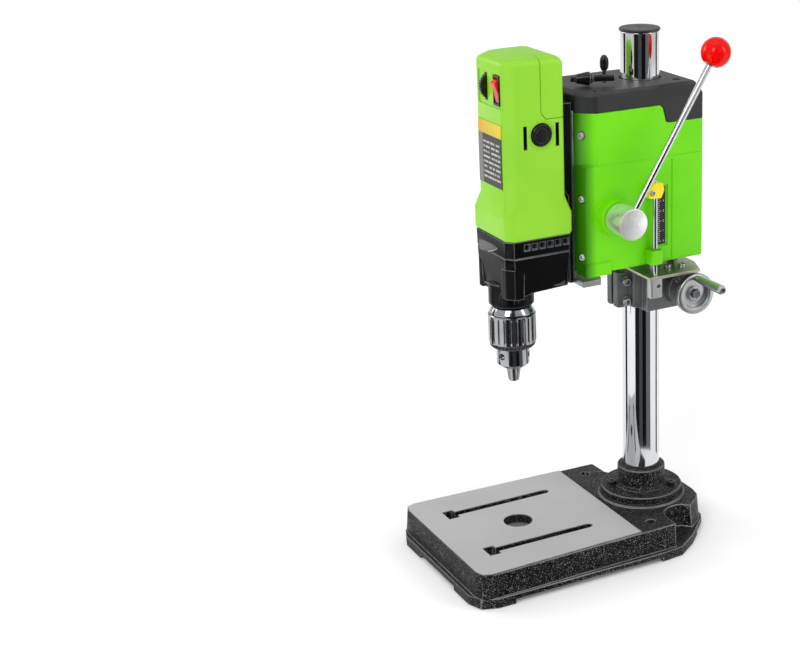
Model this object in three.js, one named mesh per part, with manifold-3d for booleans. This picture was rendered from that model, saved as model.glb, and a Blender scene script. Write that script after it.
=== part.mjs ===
// Bench drill press: cast base, round column, clamped collar with a lift screw,
// green head with a feed slide, geared motor and a keyed chuck.
// Millimetres, +Z up, front (chuck) toward -Y, feed lever toward +X.
// Plan coordinates are taken from the column axis; heights from the floor.
import * as THREE from 'three';
import { mergeGeometries, mergeVertices } from 'three/addons/utils/BufferGeometryUtils.js';
import Module from 'manifold-3d';

// ---- driving dimensions ----
const shiftToBoxCentre = [-7, 92, 0];       // column axis to the middle of the bounding box
const fitGap = 0.3;                         // clearance left between neighbouring parts
const columnRadius = 19, columnTop = 518;
const tableTop = 36, deckTop = 34.2, lipTop = 10, footLift = 4.2;
const baseFront = -236, baseRear = 52, baseHalf = 94;
const tableFront = -229.8, tableRear = -50.8, tableHalfFront = 90.6, tableHalfRear = 85.6;
const tableHoleRadius = 14.3, slotX = 46.5, slotHalf = 4;
const deckHoles = [67.5, -29.3, 4.7];
const flangeRadius = 41.9, flangeTop = 44.3, flangeNeckRadius = 24.5, flangeNeckTop = 66.2;
const flangeScrews = [[-10, -29], [22.3, 22.2], [-28, 13]];
const spindleY = -144.5;
const collarBottom = 242.5, collarTop = 284, collarSide = 31.6;
const earHalf = 11.8, earFront = -32.8, slitHalf = 2;
const clampScrewY = -25, clampScrewHeights = [271.6, 250.8];
const plateTop = 287, plateRight = 58.8, plateFront = -24.6, plateRear = 33;
const rodX = 52.5, rodY = -15, rodRadius = 2.5, rodTop = 382;
const wheelY = 27, wheelZ = 262.8, wheelRadius = 20.6, wheelFace = 62, crankRadius = 16.6;
const crankEnd = 108, liftScrewX = 16, liftScrewTop = 380;
const headBottom = 297, headTop = 451, headRearTop = 433.3, headFront = -89.3, headRear = 44;
const headHalf = 45, panelHalf = 46, panelTop = 401, coverTop = 470.5;
const feedY = -57.8, feedZ = 351.9, pinionPitch = 18, hubRadius = 15, hubFace = 85;
const leverX = 75.5, leverLean = 57.6, leverLength = 177.1, knobRadius = 14.4;
const slideHalf = 29, slideBack = -89.6, slideFront = -91.3, slideTop = 453;
const motorHalf = 34.7, motorFront = -161.6, motorRear = -101.8, motorTop = 508;
const flareHalf = 37.7, flareFront = -165.3, flareRear = -96.4, motorBottom = 338;
const gearboxBottom = 280.3, neckRadius = 22, neckBottom = 267;
const brushY = -126, brushZ = 435.8;
const dialX = -7.5, dialZ = 478, dialRadius = 13.8, dialY = -153.3;
const rockerX = 17.4, rockerZ = 478;
const noseRadius = 16.1, noseBottom = 203.6, sleeveRadius = 23.3;
const sleeveBottom = 224.4, sleeveTop = 258.3, chuckTop = 265.2;
const jawLean = 10, jawRadius = 4.2, jawCentre = 3.9, jawTip = 188, jawTop = 222;
const keyBed = [5, -79], keyEnd = [21.6, -40], keyZ = 477.4;

const wasm = await Module();
wasm.setup();

// ---- building helpers ----
function toSolid(geometry) {
  const bare = geometry.clone();
  ['normal', 'uv'].forEach((name) => bare.deleteAttribute(name));
  const merged = mergeVertices(bare, 1e-4);
  const ids = Array.from(merged.index.array);
  const place = merged.attributes.position;
  const kept = [];
  for (let i = 0; i < ids.length; i += 3) {
    const [a, b, c] = [ids[i], ids[i + 1], ids[i + 2]];
    if (a !== b && b !== c && a !== c) kept.push(a, b, c);
  }
  if (volumeOf(place, kept) < 0) kept.reverse();
  return new wasm.Manifold(new wasm.Mesh({
    numProp: 3, vertProperties: new Float32Array(place.array), triVerts: new Uint32Array(kept),
  }));
}

function volumeOf(place, ids) {
  const [p, q, r] = [new THREE.Vector3(), new THREE.Vector3(), new THREE.Vector3()];
  let total = 0;
  for (let i = 0; i < ids.length; i += 3) {
    p.fromBufferAttribute(place, ids[i]);
    q.fromBufferAttribute(place, ids[i + 1]);
    r.fromBufferAttribute(place, ids[i + 2]);
    total += p.dot(q.cross(r));
  }
  return total;
}

function toGeometry(solid) {
  const mesh = solid.getMesh();
  const geometry = new THREE.BufferGeometry();
  geometry.setAttribute('position', new THREE.BufferAttribute(new Float32Array(mesh.vertProperties), 3));
  geometry.setIndex(Array.from(mesh.triVerts));
  return geometry;
}

const join = (...solids) => solids.reduce((a, b) => a.add(b));
const cut = (solid, ...tools) => tools.reduce((a, b) => a.subtract(b), solid);
const common = (a, b) => a.intersect(b);

function box(x0, x1, y0, y1, z0, z1) {
  const geometry = new THREE.BoxGeometry(x1 - x0, y1 - y0, z1 - z0);
  return toSolid(geometry.translate((x0 + x1) / 2, (y0 + y1) / 2, (z0 + z1) / 2));
}

// turned body about +Z through (x, y); profile is [radius, height] pairs
function turned(profile, x, y, sides = 32, place = null) {
  const points = profile.map(([r, z]) => new THREE.Vector2(r, z));
  const geometry = new THREE.LatheGeometry(points, sides).rotateX(Math.PI / 2);
  if (place) geometry.applyMatrix4(place);
  return toSolid(geometry.translate(x, y, 0));
}

// turned body about +X; profile is [radius, x] pairs around the line (y, z)
function turnedX(profile, y, z, sides = 32) {
  const points = profile.map(([r, x]) => new THREE.Vector2(r, x));
  const geometry = new THREE.LatheGeometry(points, sides).rotateZ(-Math.PI / 2);
  return toSolid(geometry.translate(0, y, z));
}

const rod = (radius, low, high) => [[0, low], [radius, low], [radius, high], [0, high]];
const post = (x, y, radius, z0, z1, sides = 24) => turned(rod(radius, z0, z1), x, y, sides);
const pinX = (y, z, radius, x0, x1, sides = 24) => turnedX(rod(radius, x0, x1), y, z, sides);

const shapeOf = (points) => new THREE.Shape(points.map(([u, v]) => new THREE.Vector2(u, v)));

// plan outline carried up from z0 to z1
function slab(points, z0, z1) {
  const geometry = new THREE.ExtrudeGeometry(shapeOf(points), { depth: z1 - z0, bevelEnabled: false });
  return toSolid(geometry.translate(0, 0, z0));
}

// outline in (y, z) carried from x0 to x1
function slabX(points, x0, x1) {
  const geometry = new THREE.ExtrudeGeometry(shapeOf(points), { depth: x1 - x0, bevelEnabled: false });
  const turn = new THREE.Matrix4().set(0, 0, 1, x0, 1, 0, 0, 0, 0, 1, 0, 0, 0, 0, 0, 1);
  return toSolid(geometry.applyMatrix4(turn));
}

// stack of plan outlines with equal point counts, skinned and capped
function loft(stack) {
  const flatOf = (points) => points.map(([x, y]) => new THREE.Vector2(x, y));
  const backward = THREE.ShapeUtils.isClockWise(flatOf(stack[0].points));
  const levels = stack.map(({ z, points }) => ({ z, points: backward ? [...points].reverse() : points }));
  const count = levels[0].points.length;
  const place = levels.flatMap(({ z, points }) => points.flatMap(([x, y]) => [x, y, z]));
  const ids = [];
  for (let k = 0; k + 1 < levels.length; k += 1) {
    for (let i = 0; i < count; i += 1) {
      const [a, b] = [k * count + i, k * count + ((i + 1) % count)];
      ids.push(a, b, b + count, a, b + count, a + count);
    }
  }
  const cap = (k, flip) => {
    THREE.ShapeUtils.triangulateShape(flatOf(levels[k].points), []).forEach(([a, b, c]) => {
      const face = flip ? [c, b, a] : [a, b, c];
      ids.push(...face.map((i) => i + k * count));
    });
  };
  cap(0, true);
  cap(levels.length - 1, false);
  const geometry = new THREE.BufferGeometry();
  geometry.setAttribute('position', new THREE.Float32BufferAttribute(place, 3));
  geometry.setIndex(ids);
  return toSolid(geometry);
}

const mirrored = (points) => [...points, ...points.map(([x, y]) => [-x, y]).reverse()];

// rounds every corner of a closed outline with short chords
function eased(points, radius, steps = 3) {
  const out = [];
  points.forEach(([x, y], i) => {
    const [px, py] = points[(i + points.length - 1) % points.length];
    const [nx, ny] = points[(i + 1) % points.length];
    const [before, after] = [Math.hypot(px - x, py - y), Math.hypot(nx - x, ny - y)];
    const reach = Math.min(radius, before * 0.45, after * 0.45);
    const from = [x + (px - x) * reach / before, y + (py - y) * reach / before];
    const to = [x + (nx - x) * reach / after, y + (ny - y) * reach / after];
    for (let s = 0; s <= steps; s += 1) {
      const t = s / steps;
      const w = [(1 - t) ** 2, 2 * t * (1 - t), t * t];
      out.push([0, 1].map((k) => w[0] * from[k] + w[1] * [x, y][k] + w[2] * to[k]));
    }
  });
  return out;
}

function ring(count, radius, phase = 0, cx = 0, cy = 0) {
  return Array.from({ length: count }, (_, i) => {
    const a = phase + (2 * Math.PI * i) / count;
    return [cx + radius * Math.cos(a), cy + radius * Math.sin(a)];
  });
}

// gear outline with straight-sided teeth
function gear(teeth, root, tip, cx, cy) {
  return Array.from({ length: teeth * 4 }, (_, i) => {
    const a = (2 * Math.PI * (i + 0.5)) / (teeth * 4);
    const r = i % 4 < 2 ? tip : root;
    return [cx + r * Math.cos(a), cy + r * Math.sin(a)];
  });
}

// ---- base ----
function lipPlan() {
  return mirrored([[24, baseRear], [36, 51], [45, 46], [74.5, 16.5], [90.5, -6], [93.3, -32],
    [baseHalf, baseFront + 22],
    [baseHalf - 6, baseFront + 6], [baseHalf - 22, baseFront]]);
}

function wallPlan(grow) {
  return mirrored([[24 + grow, 48.6 + grow], [36 + grow, 46 + grow], [46 + grow, 38.5 + grow],
    [86 + grow, -12],
    [90.6 + grow, tableFront + 12], [87.6 + grow, tableFront + 3 - grow], [78, tableFront - grow]]);
}

function tablePlan() {
  return mirrored([[tableHalfRear, tableRear], [tableHalfFront, tableFront + 12],
    [tableHalfFront - 3, tableFront + 3], [tableHalfFront - 12.6, tableFront]]);
}

function tableSlot(side) {
  const x = side * slotX;
  return [slab([[x - 9, -202.5], [x + 9, -202.5], [x + 9, -191.5], [x - 9, -191.5]], 20, 40),
    slab([[x - slotHalf, -195], [x + slotHalf, -195], [x + slotHalf, -89.5],
      [x + 2.2, -86.2], [x, -85.5], [x - 2.2, -86.2], [x - slotHalf, -89.5]], 20, 40)];
}

function cornerNotch(side) {
  const points = [[100, -11.3], [62, -9.5], [54, -5], [49.5, 2], [48, 11], [50, 18], [56, 23.5], [84, 50]];
  const plan = points.map(([x, y]) => [side * x, y]);
  return slab(side > 0 ? plan : plan.reverse(), lipTop, 40);
}

function baseCasting() {
  const body = loft([{ z: lipTop - 1, points: wallPlan(1.6) }, { z: deckTop, points: wallPlan(0) }]);
  const table = slab(tablePlan(), deckTop - 1, tableTop);
  const seat = turned(rod(44.5, deckTop - 1, tableTop), 0, 0, 48);
  const arches = [box(80, 100, -195, -30, -1, footLift), box(-100, -80, -195, -30, -1, footLift),
    box(-39, 39, -240, -225, -1, footLift), box(-60, 60, 12, 60, -1, footLift)];
  const hollow = loft([{ z: -1, points: mirrored([[76, -62], [80, -216]]) },
    { z: 26, points: mirrored([[74, -64], [78, -214]]) }]);
  const [x, y, r] = deckHoles;
  return cut(join(slab(lipPlan(), 0, lipTop), body, table, seat), ...arches, hollow,
    post(0, spindleY, tableHoleRadius, 20, 40), ...tableSlot(1), ...tableSlot(-1),
    post(x, y, r, -1, 40, 16), post(-x, y, r, -1, 40, 16), cornerNotch(1), cornerNotch(-1));
}

function columnFlange() {
  const low = tableTop + 0.2;
  const profile = [[columnRadius + fitGap, low], [flangeRadius, low], [flangeRadius, flangeTop - 1.2],
    [flangeRadius - 1.2, flangeTop], [flangeNeckRadius + 2, flangeTop],
    [flangeNeckRadius, flangeTop + 2.5], [flangeNeckRadius, flangeNeckTop - 1],
    [flangeNeckRadius - 1, flangeNeckTop], [columnRadius + fitGap, flangeNeckTop],
    [columnRadius + fitGap, low]];
  const seats = flangeScrews.map(([x, y]) => post(x, y, 2.8, 38, 50, 16));
  return cut(turned(profile, 0, 0, 48), ...seats);
}

function capScrew(head, headHeight, shank, length) {
  return [[0, -length], [shank, -length], [shank, 0.15], [head, 0.15], [head, headHeight - 0.5],
    [head - 0.5, headHeight], [head * 0.5, headHeight], [head * 0.5, headHeight * 0.45],
    [0, headHeight * 0.45]];
}

function flangeScrew([x, y]) {
  const profile = capScrew(4.3, 5, 2.5, 5).map(([r, z]) => [r, z + flangeTop]);
  return turned(profile, x, y, 18);
}

// ---- column ----
const columnBar = () => turned([[0, tableTop + fitGap], [columnRadius, tableTop + fitGap],
  [columnRadius, columnTop - 3], [0, columnTop - 3]], 0, 0, 48);

const columnCap = () => turned([[0, columnTop - 2.8], [19.5, columnTop - 2.8], [19.9, columnTop - 2.4],
  [19.9, columnTop - 0.6], [19.3, columnTop], [2, columnTop], [2, columnTop - 1.6],
  [0, columnTop - 1.6]], 0, 0, 48);

// ---- collar ----
function collarBody() {
  const shell = turned(rod(26, collarBottom + 2, collarTop), 0, 0, 40);
  const flats = [box(earHalf, 40, -40, -19.3, 230, 300), box(-40, -earHalf, -40, -19.3, 230, 300)];
  const ears = slab(mirrored([[earHalf, -10], [earHalf, earFront + 2], [earHalf - 2, earFront]]),
    collarBottom + 2, 280);
  const block = slab([[-22, -11.5], [collarSide, -11.5], [collarSide, 41], [-14, 41], [-22, 30]],
    collarBottom, collarTop);
  const screws = clampScrewHeights.flatMap((z) => [pinX(clampScrewY, z, 2.9, -20, 20, 16)]);
  return cut(join(cut(shell, ...flats), ears, block), turned(rod(columnRadius + fitGap, 230, 300), 0, 0, 40),
    box(-slitHalf, slitHalf, -40, -15, 230, 300), ...screws,
    post(liftScrewX, wheelY, 9, 230, 274, 20), post(liftScrewX, wheelY, 5.4, 230, 300, 20),
    pinX(wheelY, wheelZ, 4.4, liftScrewX, 50, 20), pinX(wheelY, wheelZ, 8.8, liftScrewX, 27.4, 20));
}

function clampScrew(z) {
  const profile = [[0, -13.5], [2.5, -13.5], [2.5, earHalf + 0.2], [5.2, earHalf + 0.2],
    [5.2, earHalf + 1.4], [4.1, earHalf + 1.4], [4.1, earHalf + 5.4], [3.6, earHalf + 5.9],
    [2, earHalf + 5.9], [2, earHalf + 3.4], [0, earHalf + 3.4]];
  return turnedX(profile, clampScrewY, z, 20);
}

function collarPlate() {
  const plan = [[-24, plateFront], [plateRight, plateFront], [plateRight, plateRear], [34, 42],
    [-16, 42], [-24, 32]];
  return cut(slab(plan, collarTop + fitGap, plateTop), post(0, 0, 20.5, 280, 290, 40),
    post(rodX, rodY, 2.8, 280, 290, 16), post(liftScrewX, wheelY, 5.4, 280, 290, 20),
    ...plateBolts.map(([x, y]) => post(x, y, 2.3, 280, 290, 14)));
}

const plateBolts = [[38, 8], [44, 21]];
const plateBolt = ([x, y]) => turned(capScrew(4, 3.8, 2, 2.6).map(([r, z]) => [r, z + plateTop]),
  x, y, 18);

function rodBlock() {
  const plan = eased([[48.5, -22], [57, -22], [57, -9], [48.5, -9]], 1.2, 2);
  return cut(slab(plan, 265, collarTop), post(rodX, rodY, 2.8, 268, 290, 16),
    pinX(rodY + 1.4, 276.5, 1.9, 53.5, 60, 12));
}

const rodBlockScrew = () => turnedX([[0, 55.4], [1.6, 55.4], [1.6, 56.6], [0.8, 56.6], [0.8, 56],
  [0, 56]], rodY + 1.4, 276.5, 12);

const depthRod = () => turned([[0, 268.3], [rodRadius, 268.3], [rodRadius, rodTop - 1],
  [rodRadius - 1, rodTop], [0, rodTop]], rodX, rodY, 20);

function depthPointer() {
  const outline = [[-24.5, 365.5], [-11, 364.5], [-7.5, 372], [-8.8, 379], [-17, 380], [-24, 373.5]];
  return cut(slabX(outline, 47.2, 57.6), post(rodX, rodY, 2.8, 360, 385, 16),
    pinX(-21, 370.8, 1.6, 53, 60, 12));
}

const pointerScrew = () => turnedX([[0, 54], [1.3, 54], [1.3, 57.8], [2.7, 57.8], [2.7, 58.9],
  [2.1, 59.4], [0, 59.4]], -21, 370.8, 14);

function liftScrew() {
  const profile = [[0, 267], [3.4, 267], [8.2, 271.8], [8.2, 273.4], [5, 273.4],
    [5, liftScrewTop - 1.5], [3.5, liftScrewTop], [0, liftScrewTop]];
  return turned(profile, liftScrewX, wheelY, 24);
}

function wheelFlange() {
  const screws = wheelFlangeScrews.map(([y, z]) => pinX(y, z, 1.9, 36, 45, 12));
  return cut(turnedX([[4.4, collarSide + fitGap], [18, collarSide + fitGap], [18, 39.2], [17.2, 40],
    [4.4, 40], [4.4, collarSide + fitGap]], wheelY, wheelZ, 40), ...screws);
}

const wheelFlangeScrews = [0, 1, 2].map((i) => {
  const a = ((130 + 120 * i) * Math.PI) / 180;
  return [wheelY + 14.2 * Math.cos(a), wheelZ + 14.2 * Math.sin(a)];
});

const wheelFlangeScrew = ([y, z]) => turnedX([[0, 36.3], [1.6, 36.3], [1.6, 40.2], [2.9, 40.2],
  [2.9, 41.3], [2.3, 41.9], [0, 41.9]], y, z, 14);

// ---- handwheel ----
function wheelShaft() {
  const x = liftScrewX;
  return turnedX([[0, x + 4.4], [3.4, x + 4.4], [8, x + 9], [8, x + 10.6], [4, x + 10.6],
    [4, wheelFace - 2.3], [0, wheelFace - 2.3]], wheelY, wheelZ, 24);
}

function handwheel() {
  const profile = [[4.3, 45], [7.6, 45], [7.6, 53], [14.2, 53.6], [19.6, 53.6], [wheelRadius, 54.6],
    [wheelRadius, wheelFace - 1.2], [19.4, wheelFace], [15.2, wheelFace], [14.2, wheelFace - 1],
    [13.6, 56.6], [7.6, 56.6], [7.6, 59], [4.3, 59], [4.3, 45]];
  return cut(turnedX(profile, wheelY, wheelZ, 40),
    pinX(wheelY, wheelZ + crankRadius, 2.2, 55.4, 70, 14));
}

const wheelNut = () => turnedX([[0, 59.9], [4.6, 59.9], [4.6, 62.4], [4, 63], [0, 63]],
  wheelY, wheelZ, 6);

const crankPin = () => turnedX([[0, 55.7], [1.9, 55.7], [1.9, crankEnd - 3], [0, crankEnd - 3]],
  wheelY, wheelZ + crankRadius, 14);

const crankHandle = () => turnedX([[2.2, wheelFace + 0.6], [3.3, wheelFace + 0.6], [3.6, 68], [4.6, 92],
  [4.7, crankEnd - 3], [3.4, crankEnd], [2.2, crankEnd], [2.2, wheelFace + 0.6]],
wheelY, wheelZ + crankRadius, 20);

// ---- head ----
const headPlan = mirrored([[headHalf - 1.5, headRear], [headHalf, headRear - 1.5], [headHalf, -74],
  [38.5, -82], [28.5, headFront]]);
const panelPlan = mirrored([[panelHalf - 2, headRear], [panelHalf, headRear - 2], [panelHalf, -85.5],
  [44.5, -86.6], [28.5, headFront]]);

function headBlank() {
  const side = [[-100, headBottom], [60, headBottom], [60, headRearTop], [5, headRearTop],
    [2, 435], [-1.5, 448], [-4, headTop], [-100, headTop]];
  const body = common(slab(headPlan, headBottom, headTop + 1), slabX(side, -60, 60));
  const edge = eased(panelPlan, 2, 1);
  const panel = loft([{ z: headBottom, points: edge.map(([x, y]) => [x * 0.985, y * 0.99]) },
    { z: headBottom + 3, points: edge }, { z: panelTop, points: edge }]);
  return join(body, panel);
}

const cornerLip = (side) => box(Math.min(side * 30, side * 48), Math.max(side * 30, side * 48),
  -88.8, -60.3, 294.5, 307);

const feedBoss = (side) => turnedX([[0, side * 40], [19.5, side * 40], [18.6, side * 50],
  [17, side * 56.5], [0, side * 56.5]], feedY, feedZ, 36);

const guideLug = () => slab(eased([[44, -22], [58.5, -22], [58.5, -8.6], [44, -8.6]], 3, 2), 299, 313);

function feedWay() {
  const tongue = [[-14.5, -92], [14.5, -92], [14.5, headFront], [20.6, -78.7], [-20.6, -78.7],
    [-14.5, headFront]];
  return [slab(tongue, 280, 460), box(-8.5, 8.5, -79, -73.6, 280, 446),
    pinX(feedY, feedZ, 20.2, -8.5, 8.5, 32)];
}

const gibSeats = [430, 369.3, 312.2];
const gibNormal = new THREE.Vector3(8, -10, 0).normalize();

function gibPlace(z) {
  const turn = new THREE.Quaternion().setFromUnitVectors(new THREE.Vector3(0, 0, 1), gibNormal);
  const spot = new THREE.Vector3(34.8, -84.26, z);
  return new THREE.Matrix4().compose(spot, turn, new THREE.Vector3(1, 1, 1));
}

function headHousing() {
  const seats = gibSeats.map((z) => turned(rod(4.3, -0.4, 12), 0, 0, 16, gibPlace(z)));
  const holes = gibSeats.map((z) => turned(rod(2, -5, 5), 0, 0, 12, gibPlace(z)));
  const block = join(headBlank(), cornerLip(1), cornerLip(-1), feedBoss(1), feedBoss(-1), guideLug());
  return cut(block, post(0, 0, columnRadius + 0.4, 280, 460, 48), ...feedWay(),
    pinX(feedY, feedZ, 6.4, -60, 60, 24), post(liftScrewX, wheelY, 5.3, 280, 386, 20),
    post(rodX, rodY, 2.8, 290, 320, 16), box(44.4, 50, -8.4, 3.2, 313.2, 373.6),
    box(45, 50, 6.5, 8.6, 290, 398), ...seats, ...holes);
}

function gibScrew(z) {
  const profile = [[0, -4.6], [1.7, -4.6], [1.7, -0.2], [3.6, -0.2], [3.6, 1.8], [3.1, 2.3],
    [1.8, 2.3], [1.8, 0.9], [0, 0.9]];
  return turned(profile, 0, 0, 16, gibPlace(z));
}

const scalePlate = () => box(44.7, 45.4, -7.9, 0.9, 315, 372);

function topCover() {
  const plan = eased(headPlan, 2.5, 2);
  const inner = plan.map(([x, y]) => [x * 0.96, (y + 20) * 0.93 - 20]);
  const skin = loft([{ z: 430, points: plan }, { z: coverTop - 3.5, points: plan },
    { z: coverTop, points: inner }]);
  const side = [[-100, headTop + fitGap], [-3.8, headTop + fitGap], [-1.1, 448.1], [2.4, 435.2],
    [5.1, headRearTop + fitGap], [60, headRearTop + fitGap], [60, 456], [43, 458],
    [39, 465], [33, coverTop + 1], [-86, coverTop + 1], [-100, 463]];
  const recess = [post(29.7, 22.4, 3.6, 467, 480, 16), post(-29.7, 22.4, 3.6, 467, 480, 16),
    box(33, 39, -72, -69, 468, 480)];
  return cut(common(skin, slabX(side, -60, 60)), post(0, 0, columnRadius + 1.2, 420, 480, 48),
    ...recess);
}

const springHousing = () => turnedX([[6.4, -70], [15.6, -70], [17, -68.6], [17, -56.8], [6.4, -56.8],
  [6.4, -70]], feedY, feedZ, 32);

// ---- feed lever ----
function feedShaft() {
  const pinion = slabX(gear(18, 16.1, 19.2, feedY, feedZ), -7.5, 7.5);
  return join(pinX(feedY, feedZ, 6, -69, 70, 24), pinion);
}

function leverFrame() {
  const turn = new THREE.Matrix4().makeRotationX(((leverLean - 90) * Math.PI) / 180);
  return new THREE.Matrix4().makeTranslation(leverX, feedY, feedZ).multiply(turn);
}

const alongLever = (profile, sides) => turned(profile, 0, 0, sides, leverFrame());

function feedHub() {
  const profile = [[0, 56.8], [13.4, 56.8], [hubRadius, 58.4], [hubRadius, hubFace - 0.8],
    [hubRadius - 0.8, hubFace], [0, hubFace]];
  return cut(turnedX(profile, feedY, feedZ, 40), pinX(feedY, feedZ, 6.3, 50, 70.3, 24),
    alongLever(rod(3.55, -11, 30), 20));
}

const leverRod = () => alongLever([[0, -10.5], [3.25, -10.5], [3.25, 168], [0, 168]], 20);

function leverKnob() {
  const steps = 12;
  const profile = Array.from({ length: steps + 1 }, (_, i) => {
    const a = -Math.PI / 2 + 0.5 + ((Math.PI - 0.5) * i) / steps;
    return [i === steps ? 0 : knobRadius * Math.cos(a), leverLength + knobRadius * Math.sin(a)];
  });
  const mouth = profile[0][1];
  return alongLever([[0, 168.5], [3.55, 168.5], [3.55, mouth], ...profile], 28);
}

// ---- carriage ----
function feedSlide() {
  const plate = box(-slideHalf, slideHalf, slideFront, slideBack, 285.5, slideTop);
  const tongue = slab([[-14, slideBack - 0.5], [14, slideBack - 0.5], [14, headFront], [20, -79],
    [-20, -79], [-14, headFront]], 300, 440);
  const foot = slab([[-47, slideFront], [47, slideFront], [47, -72], [40, -68], [-40, -68], [-47, -72]],
    285.5, 291);
  return join(plate, tongue, foot);
}

function feedRack() {
  const [low, high, pitch] = [338, 424, (2 * Math.PI * pinionPitch) / 18];
  const firstTooth = feedZ + 1.57 - 2 * pitch;        // a gap faces each pinion tooth
  const outline = [[-78.7, high], [-78.7, low], [-77.5, low]];
  for (let z = firstTooth; z + pitch < high; z += pitch) {
    outline.push([-77.5, z - 1.6], [-74.5, z - 0.7], [-74.5, z + 0.7], [-77.5, z + 1.6]);
  }
  outline.push([-77.5, high]);
  return slabX(outline.reverse(), -6.5, 6.5);
}

function motorBracket() {
  const outline = [[-96, 286], [slideFront - 0.2, 286], [slideFront - 0.2, 461], [-101.4, 461],
    [-101.4, 380], [-96, 372]];
  return slabX(outline, -slideHalf, slideHalf);
}

const upperPlan = [[24.5, motorFront], [motorHalf, motorFront + 11.6], [motorHalf, motorRear - 2],
  [motorHalf - 2, motorRear]];
const lowerPlan = [[31, flareFront], [flareHalf, flareFront + 7], [flareHalf, flareRear - 2],
  [flareHalf - 2, flareRear]];
const inset = (points, d) => points.map(([x, y]) => [x - d, y + (y < -130 ? d : -d)]);

function motorBlank() {
  const level = (z, plan, d = 0) => ({ z, points: mirrored(inset(plan, d)) });
  return loft([level(motorBottom, lowerPlan, 1), level(motorBottom + 3, lowerPlan),
    level(359, lowerPlan), level(375, upperPlan), level(500, upperPlan), level(503.5, upperPlan, 1.4),
    level(506, upperPlan, 4.5), level(motorTop, upperPlan, 12)]);
}

const capRegion = (grow) => slabX([[-126 - grow, 520], [-126 - grow, 456],
  [-121 - grow, 449.5 - grow], [-90, 449.5 - grow], [-90, 520]], -50, 50);

function motorShell() {
  const vents = [-142.8, -109.5].flatMap((y) => [1, -1].map((s) => box(Math.min(s * 31.5, s * 36),
    Math.max(s * 31.5, s * 36), y - 1.3, y + 1.3, 424, 445)));
  const caps = [1, -1].map((s) => pinX(brushY, brushZ, 10.6, s > 0 ? 32.5 : -36, s > 0 ? 36 : -32.5, 28));
  const panel = box(-21, 23.8, motorFront - 1, motorFront + 1, 461, 492.5);
  const dial = common(pinX(dialY, dialZ, dialRadius + 0.6, dialX - 2.6, dialX + 2.6, 32),
    box(-20, 20, -180, -120, 440, 520));
  const rocker = box(rockerX - 4.5, rockerX + 4.5, -170, -150, rockerZ - 11.8, rockerZ + 11.8);
  return cut(motorBlank(), capRegion(0), ...vents, ...caps, panel, dial, rocker);
}

const motorCap = () => common(motorBlank(), capRegion(-fitGap));

function brushCap(side) {
  const profile = [[0, 32.8], [10.2, 32.8], [10.2, 36], [9.4, 36.8], [6.4, 36.8], [6.4, 35.6], [0, 35.6]];
  return turnedX(profile.map(([r, x]) => [r, side * x]), brushY, brushZ, 28);
}

function speedDial() {
  const teeth = 30;
  const outline = Array.from({ length: teeth * 2 }, (_, i) => {
    const a = (Math.PI * i) / teeth;
    const r = dialRadius - (i % 2 ? 0.7 : 0);
    return [dialY + r * Math.cos(a), dialZ + r * Math.sin(a)];
  });
  return cut(slabX(outline, dialX - 2.1, dialX + 2.1), pinX(dialY, dialZ, 2, -20, 0, 12));
}

const switchFrame = () => cut(box(11.4, 23.4, -162.8, motorFront + 0.8, 464, 492),
  box(rockerX - 4.5, rockerX + 4.5, -170, -150, rockerZ - 11.8, rockerZ + 11.8));

function rocker() {
  const outline = [[-157.5, 467.4], [-157.5, 488.6], [-162, 488.6], [-166.6, 485.6], [-163, 476],
    [-161.6, 466.9]];
  return slabX(outline, rockerX - 4.1, rockerX + 4.1);
}

const labelPlate = () => box(-23.5, 23.5, motorFront - 0.7, motorFront - 0.15, 386, 446);

function gearboxHousing() {
  const plan = [[29, -165], [36, -158], [36, -99], [34, -97]];
  const level = (z, d) => ({ z, points: mirrored(inset(plan, d)) });
  const body = loft([level(gearboxBottom, 4.4), level(gearboxBottom + 3.4, 2.6), level(316, 0.5),
    level(motorBottom - fitGap, 0)]);
  const under = slabX([[-152, 270], [-90, 270], [-90, 287], [-139, 284.6], [-152, gearboxBottom]], -50, 50);
  const pillarPlan = [[21, -164.4], [28.2, -164.4], [35, -157.6], [35, -148], [21, -148]];
  const pillars = [1, -1].map((s) => slab(
    s > 0 ? pillarPlan : pillarPlan.map(([x, y]) => [-x, y]).reverse(), gearboxBottom + 0.6, 310));
  const neck = turned([[0, neckBottom], [neckRadius - 1.5, neckBottom], [neckRadius, neckBottom + 1.5],
    [neckRadius, 290], [0, 290]], 0, spindleY, 40);
  const vents = [0, 1, 2, 3, 4, 5].flatMap((i) => [1, -1].map((s) => box(
    Math.min(s * 33.6, s * 40), Math.max(s * 33.6, s * 40), -147 + 8.2 * i, -141.6 + 8.2 * i, 328, 334)));
  const seam = cut(box(-50, 50, -180, -80, 320.6, 321.4), slab(mirrored(inset(plan, 1.2)), 315, 325));
  return cut(join(cut(body, under), ...pillars, neck), ...vents, seam,
    post(0, spindleY, 8.4, 260, 302, 28));
}

// ---- spindle and chuck ----
const spindle = () => turned([[0, 241], [6, 241], [6, 258], [8, 260], [8, 301], [0, 301]], 0, spindleY, 28);

function jawPlace(index) {
  const turn = new THREE.Matrix4().makeRotationZ((2 * Math.PI * index) / 3 - 0.6);
  const lean = new THREE.Matrix4().makeRotationY((jawLean * Math.PI) / 180);
  return turn.multiply(new THREE.Matrix4().makeTranslation(jawCentre, 0, noseBottom)).multiply(lean);
}

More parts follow.
